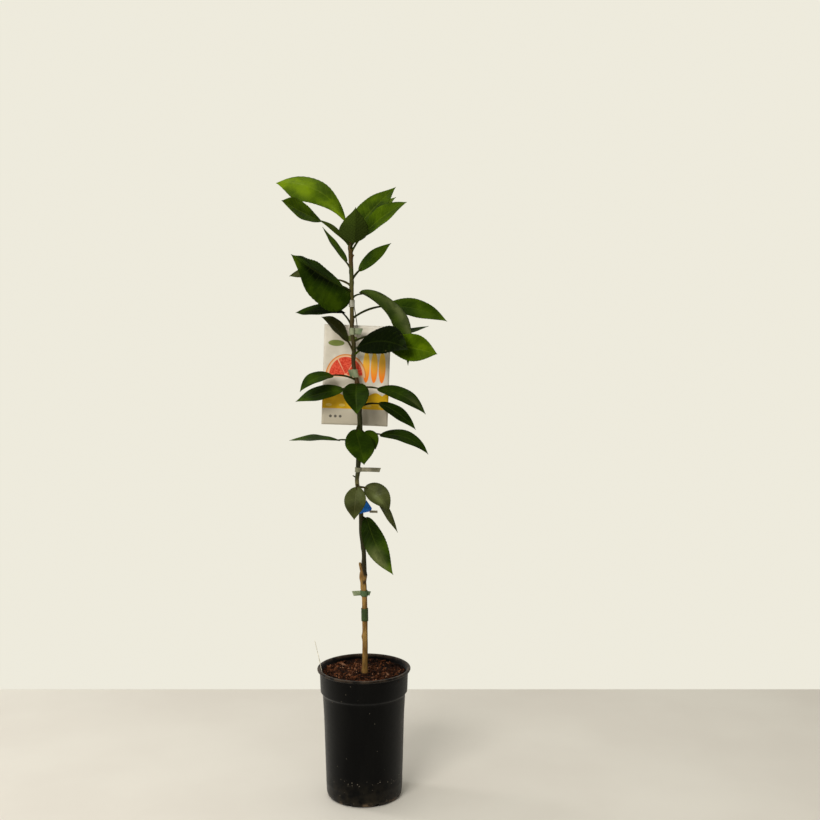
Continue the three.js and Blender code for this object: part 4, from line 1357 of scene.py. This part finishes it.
# %% [markdown]
# ## Picture card
#
# A coated card hangs behind the stem. It carries a plain citrus design in warm colours, drawn with sums on
# the card's own measure: half a fruit with its segments, oval bars, two leaves, a row of scallops and three
# dots. A printed texture could be used instead, but this stays sharp at any size.

# %% Shapes that the print is made of
def build_oval():
    inputs = {"X": 0.0, "Y": 0.0, "Wide": 10.0, "High": 10.0, "Soft": 0.02}
    tree, given, put = new_group("printed_oval", inputs, ["Mask", "Reach", "Turn"])
    place = measured(tree, "print")
    x = calc(tree, "DIVIDE", calc(tree, "SUBTRACT", place["X"], given["X"]), given["Wide"])
    y = calc(tree, "DIVIDE", calc(tree, "SUBTRACT", place["Y"], given["Y"]), given["High"])
    reach = calc(tree, "SQRT", calc(tree, "ADD", calc(tree, "MULTIPLY", x, x), calc(tree, "MULTIPLY", y, y)))
    edge = calc(tree, "ADD", 1.0, given["Soft"])
    tree.links.new(spread(tree, reach, edge, 1.0), put["Mask"])
    tree.links.new(reach, put["Reach"])
    tree.links.new(calc(tree, "ARCTAN2", y, x), put["Turn"])
    return tree


oval = build_oval()
print("print shape:", oval.name)

# %% Bars and fruit
def printed_bars(tree, up, colour):
    bar_colour = mix(tree, spread(tree, up, -8.0, 34.0), paint(255, 132, 30), paint(255, 204, 70))
    for x in (16.0, 29.0, 42.0):
        bar = use(tree, oval, X=x, Y=14.0, Wide=5.6, High=25.0)
        light = calc(tree, "MULTIPLY", spread(tree, bar["Reach"], 0.95, 0.0), 0.4)
        colour = mix(tree, bar["Mask"], colour, mix(tree, light, bar_colour, paint(240, 190, 70)))
    return colour


def printed_fruit(tree, up, colour):
    rind = use(tree, oval, X=-17.0, Y=-3.0, Wide=33.0, High=37.0)
    pith = use(tree, oval, X=-17.0, Y=-3.0, Wide=31.0, High=35.0)
    flesh = use(tree, oval, X=-17.0, Y=-1.0, Wide=27.0, High=30.5)
    above = spread(tree, up, -3.4, -3.0)
    colour = mix(tree, calc(tree, "MULTIPLY", rind["Mask"], above), colour, paint(224, 140, 60))
    colour = mix(tree, calc(tree, "MULTIPLY", pith["Mask"], above), colour, paint(236, 190, 150))
    cuts = calc(tree, "ABSOLUTE", calc(tree, "SINE", calc(tree, "MULTIPLY", flesh["Turn"], 3.0)))
    segment = calc(tree, "MULTIPLY", spread(tree, cuts, 0.06, 0.14), spread(tree, flesh["Reach"], 0.08, 0.14))
    segment = calc(tree, "MULTIPLY", segment, spread(tree, up, -0.6, 0.0))
    cells = use(tree, mottle, Scale=420.0, Detail=2.0)["Value"]
    pulp = mix(tree, cells, paint(214, 50, 32), paint(240, 100, 72))
    return mix(tree, calc(tree, "MULTIPLY", flesh["Mask"], segment), colour, pulp)


print("fruit and bars ready")

# %% Leaves, scallops and dots
def printed_leaves(tree, cloud, colour):
    for x, y, wide, high in ((-34.0, 52.0, 13.0, 5.0), (-12.0, 60.0, 12.0, 4.4)):
        leaf = use(tree, oval, X=x, Y=y, Wide=wide, High=high)
        colour = mix(tree, leaf["Mask"], colour, mix(tree, cloud, paint(112, 126, 60), paint(150, 160, 92)))
    return colour


def printed_band(tree, across, up, cloud, colour):
    band = calc(tree, "MULTIPLY", spread(tree, up, -55.4, -55.0), spread(tree, up, -26.6, -27.0))
    scallop = calc(tree, "ABSOLUTE", calc(tree, "SINE", calc(tree, "MULTIPLY", across, 0.145)))
    top = calc(tree, "MULTIPLY_ADD", scallop, 5.0, -33.0)
    arch = spread(tree, up, calc(tree, "ADD", top, 0.4), top)
    gold = mix(tree, cloud, paint(190, 144, 4), paint(240, 192, 20))
    colour = mix(tree, calc(tree, "MULTIPLY", band, arch), colour, gold)
    for x in (-43.3, -21.7, 0.0, 21.7, 43.3):
        pip = use(tree, oval, X=x, Y=-49.5, Wide=5.0, High=2.4)
        colour = mix(tree, pip["Mask"], colour, paint(226, 194, 92))
    return colour


def printed_dots(tree, colour):
    for x in (-40.0, -32.0, -24.0):
        dot = use(tree, oval, X=x, Y=-68.0, Wide=2.3, High=2.3)
        colour = mix(tree, dot["Mask"], colour, paint(96, 92, 84))
    return colour


print("leaves, scallops and dots ready")

# %% Card material
def card_material():
    material, tree, shader = new_material("card_print")
    place = measured(tree, "print")
    across, up = place["X"], place["Y"]
    cloud = use(tree, mottle, Scale=26.0, Detail=3.0)["Value"]
    sheen = mix(tree, cloud, paint(206, 198, 182), paint(240, 234, 222))
    colour = mix(tree, spread(tree, up, -80.0, -10.0), paint(190, 182, 164), sheen)
    colour = printed_bars(tree, up, colour)
    colour = printed_fruit(tree, up, colour)
    colour = printed_leaves(tree, cloud, colour)
    colour = printed_band(tree, across, up, cloud, colour)
    colour = printed_dots(tree, colour)
    colour = mix(tree, marked(tree, "back"), colour, paint(208, 204, 194))
    tree.links.new(colour, shader.inputs["Base Color"])
    shader.inputs["Roughness"].default_value = 0.34
    shader.inputs["Specular IOR Level"].default_value = 0.3
    return material


print("card material ready")

# %% Card
CARD_WIDTH, CARD_HEIGHT, CARD_THICK, CARD_BOW = 108.5, 164, 0.7, 2.5
CARD_PLACE, CARD_ROLL = np.array([-11.5, 14, 701.3]), math.radians(2.2)


def card_shape(rows=40, columns=28):
    sheets, prints = [[], []], [[], []]
    for i in range(rows + 1):
        for j in range(columns + 1):
            x, z = CARD_WIDTH * (j / columns - 0.5), CARD_HEIGHT * (i / rows - 0.5)
            bow = CARD_BOW * (1 - (2 * j / columns - 1) ** 2)
            turned_x = x * math.cos(CARD_ROLL) + z * math.sin(CARD_ROLL)
            turned_z = z * math.cos(CARD_ROLL) - x * math.sin(CARD_ROLL)
            for sheet, shown, side in zip(sheets, prints, (-0.5, 0.5)):
                sheet.append(CARD_PLACE + np.array([turned_x, bow + side * CARD_THICK, turned_z]))
                shown.append((x, z))
    return np.array(sheets[0] + sheets[1]), prints[0] + prints[1], close_sheet(rows, columns)


points, shown, faces = card_shape()
card_piece = make_piece("card_sheet", points, faces, card_material(), ["label_card"])
lay_measure(card_piece, "print", shown)
mark_points(card_piece, "back", [0] * (len(points) // 2) + [1] * (len(points) // 2))
tidy_normals(card_piece)
print("card:", CARD_WIDTH, "by", CARD_HEIGHT, "mm")

# %% Card strap
HANGER_AT, STRAP_HEADING, STRAP_FOOT = 818.7, 54, 776


def strap_shape(offset):
    top, radius = stem_at(HANGER_AT)
    start = top + direction(STRAP_HEADING, 0) * (radius + 1.05)
    face = CARD_PLACE[1] + CARD_BOW - 1.2
    end = np.array([stem_at(STRAP_FOOT)[0][0] + 8, face, STRAP_FOOT])
    middle = np.array([end[0] - 0.5, face - 1.5, CARD_PLACE[2] + CARD_HEIGHT / 2 + 6])
    rings = []
    for i in range(25):
        centre = curve(start, middle, end, i / 24)
        rings.append(ring(centre, np.array([-0.8, 0, 0]), np.array([0, 0.35, 0]), 12))
    return tube(rings, offset)


points, faces = join(lambda n: sleeve(HANGER_AT, 11, gap=0.5, offset=n), strap_shape)
clear_strap = plastic("clear_strap", paint(150, 148, 132), paint(206, 204, 192), 0.3)
hanger_piece = make_piece("hanger_strap", points, faces, clear_strap, ["card_hanger"])
tidy_normals(hanger_piece)
print("strap faces:", len(faces))

# %% [markdown]
# ## Straw
#
# One dry stalk of straw stands in the soil near the left of the rim. It is a thin tube with a slight bend.

# %% Straw
STRAW_FOOT, STRAW_LENGTH, STRAW_STEPS = np.array([-68, -10, 205.0]), 61.5, 20
STRAW_KNOT = (8, 9)


def straw_shape():
    along = unit(np.array([-13, 0, 61]))
    rings = []
    for i in range(STRAW_STEPS + 1):
        s = i / STRAW_STEPS
        centre = STRAW_FOOT + along * STRAW_LENGTH * s + np.array([0.5 * math.sin(3 * s), 0, 0])
        radius = 0.55 * (1 - 0.25 * s) * (1.25 if i in STRAW_KNOT else 1)
        rings.append(ring(centre, np.array([radius, 0, 0]), np.array([0, radius, 0]), 12))
    return tube(rings)


points, faces = straw_shape()
dry_straw = plastic("dry_straw", paint(204, 196, 172), paint(240, 234, 214), 0.6, scale=300.0)
make_piece("straw_stalk", points, faces, dry_straw, ["straw"])
print("straw top:", round(max(p[2] for p in points), 1), "mm")

# %% [markdown]
# ## The floor
#
# A pale floor carries the pot, and half a metre behind it the pale surroundings take over. The solids stay in
# the scene, hidden.

# %% Floor
FLOOR_REACH, FLOOR_BEHIND = 4, 0.53
floor_corners = [(-FLOOR_REACH, -FLOOR_REACH, 0), (FLOOR_REACH, -FLOOR_REACH, 0),
                 (FLOOR_REACH, FLOOR_BEHIND, 0), (-FLOOR_REACH, FLOOR_BEHIND, 0)]
floor_mesh = bpy.data.meshes.new("pale_floor")
floor_mesh.from_pydata(floor_corners, [], [(0, 1, 2, 3)])
floor = bpy.data.objects.new("pale_floor", floor_mesh)
bpy.context.collection.objects.link(floor)
floor_material, floor_tree, floor_shader = new_material("pale_floor")
floor_cloud = use(floor_tree, mottle, Scale=3.0, Detail=4.0)["Value"]
floor_colour = mix(floor_tree, floor_cloud, paint(222, 217, 209), paint(228, 224, 216))
floor_tree.links.new(floor_colour, floor_shader.inputs["Base Color"])
floor_shader.inputs["Roughness"].default_value = 0.6
floor_mesh.materials.append(floor_material)
print("floor behind the pot:", FLOOR_BEHIND, "m")
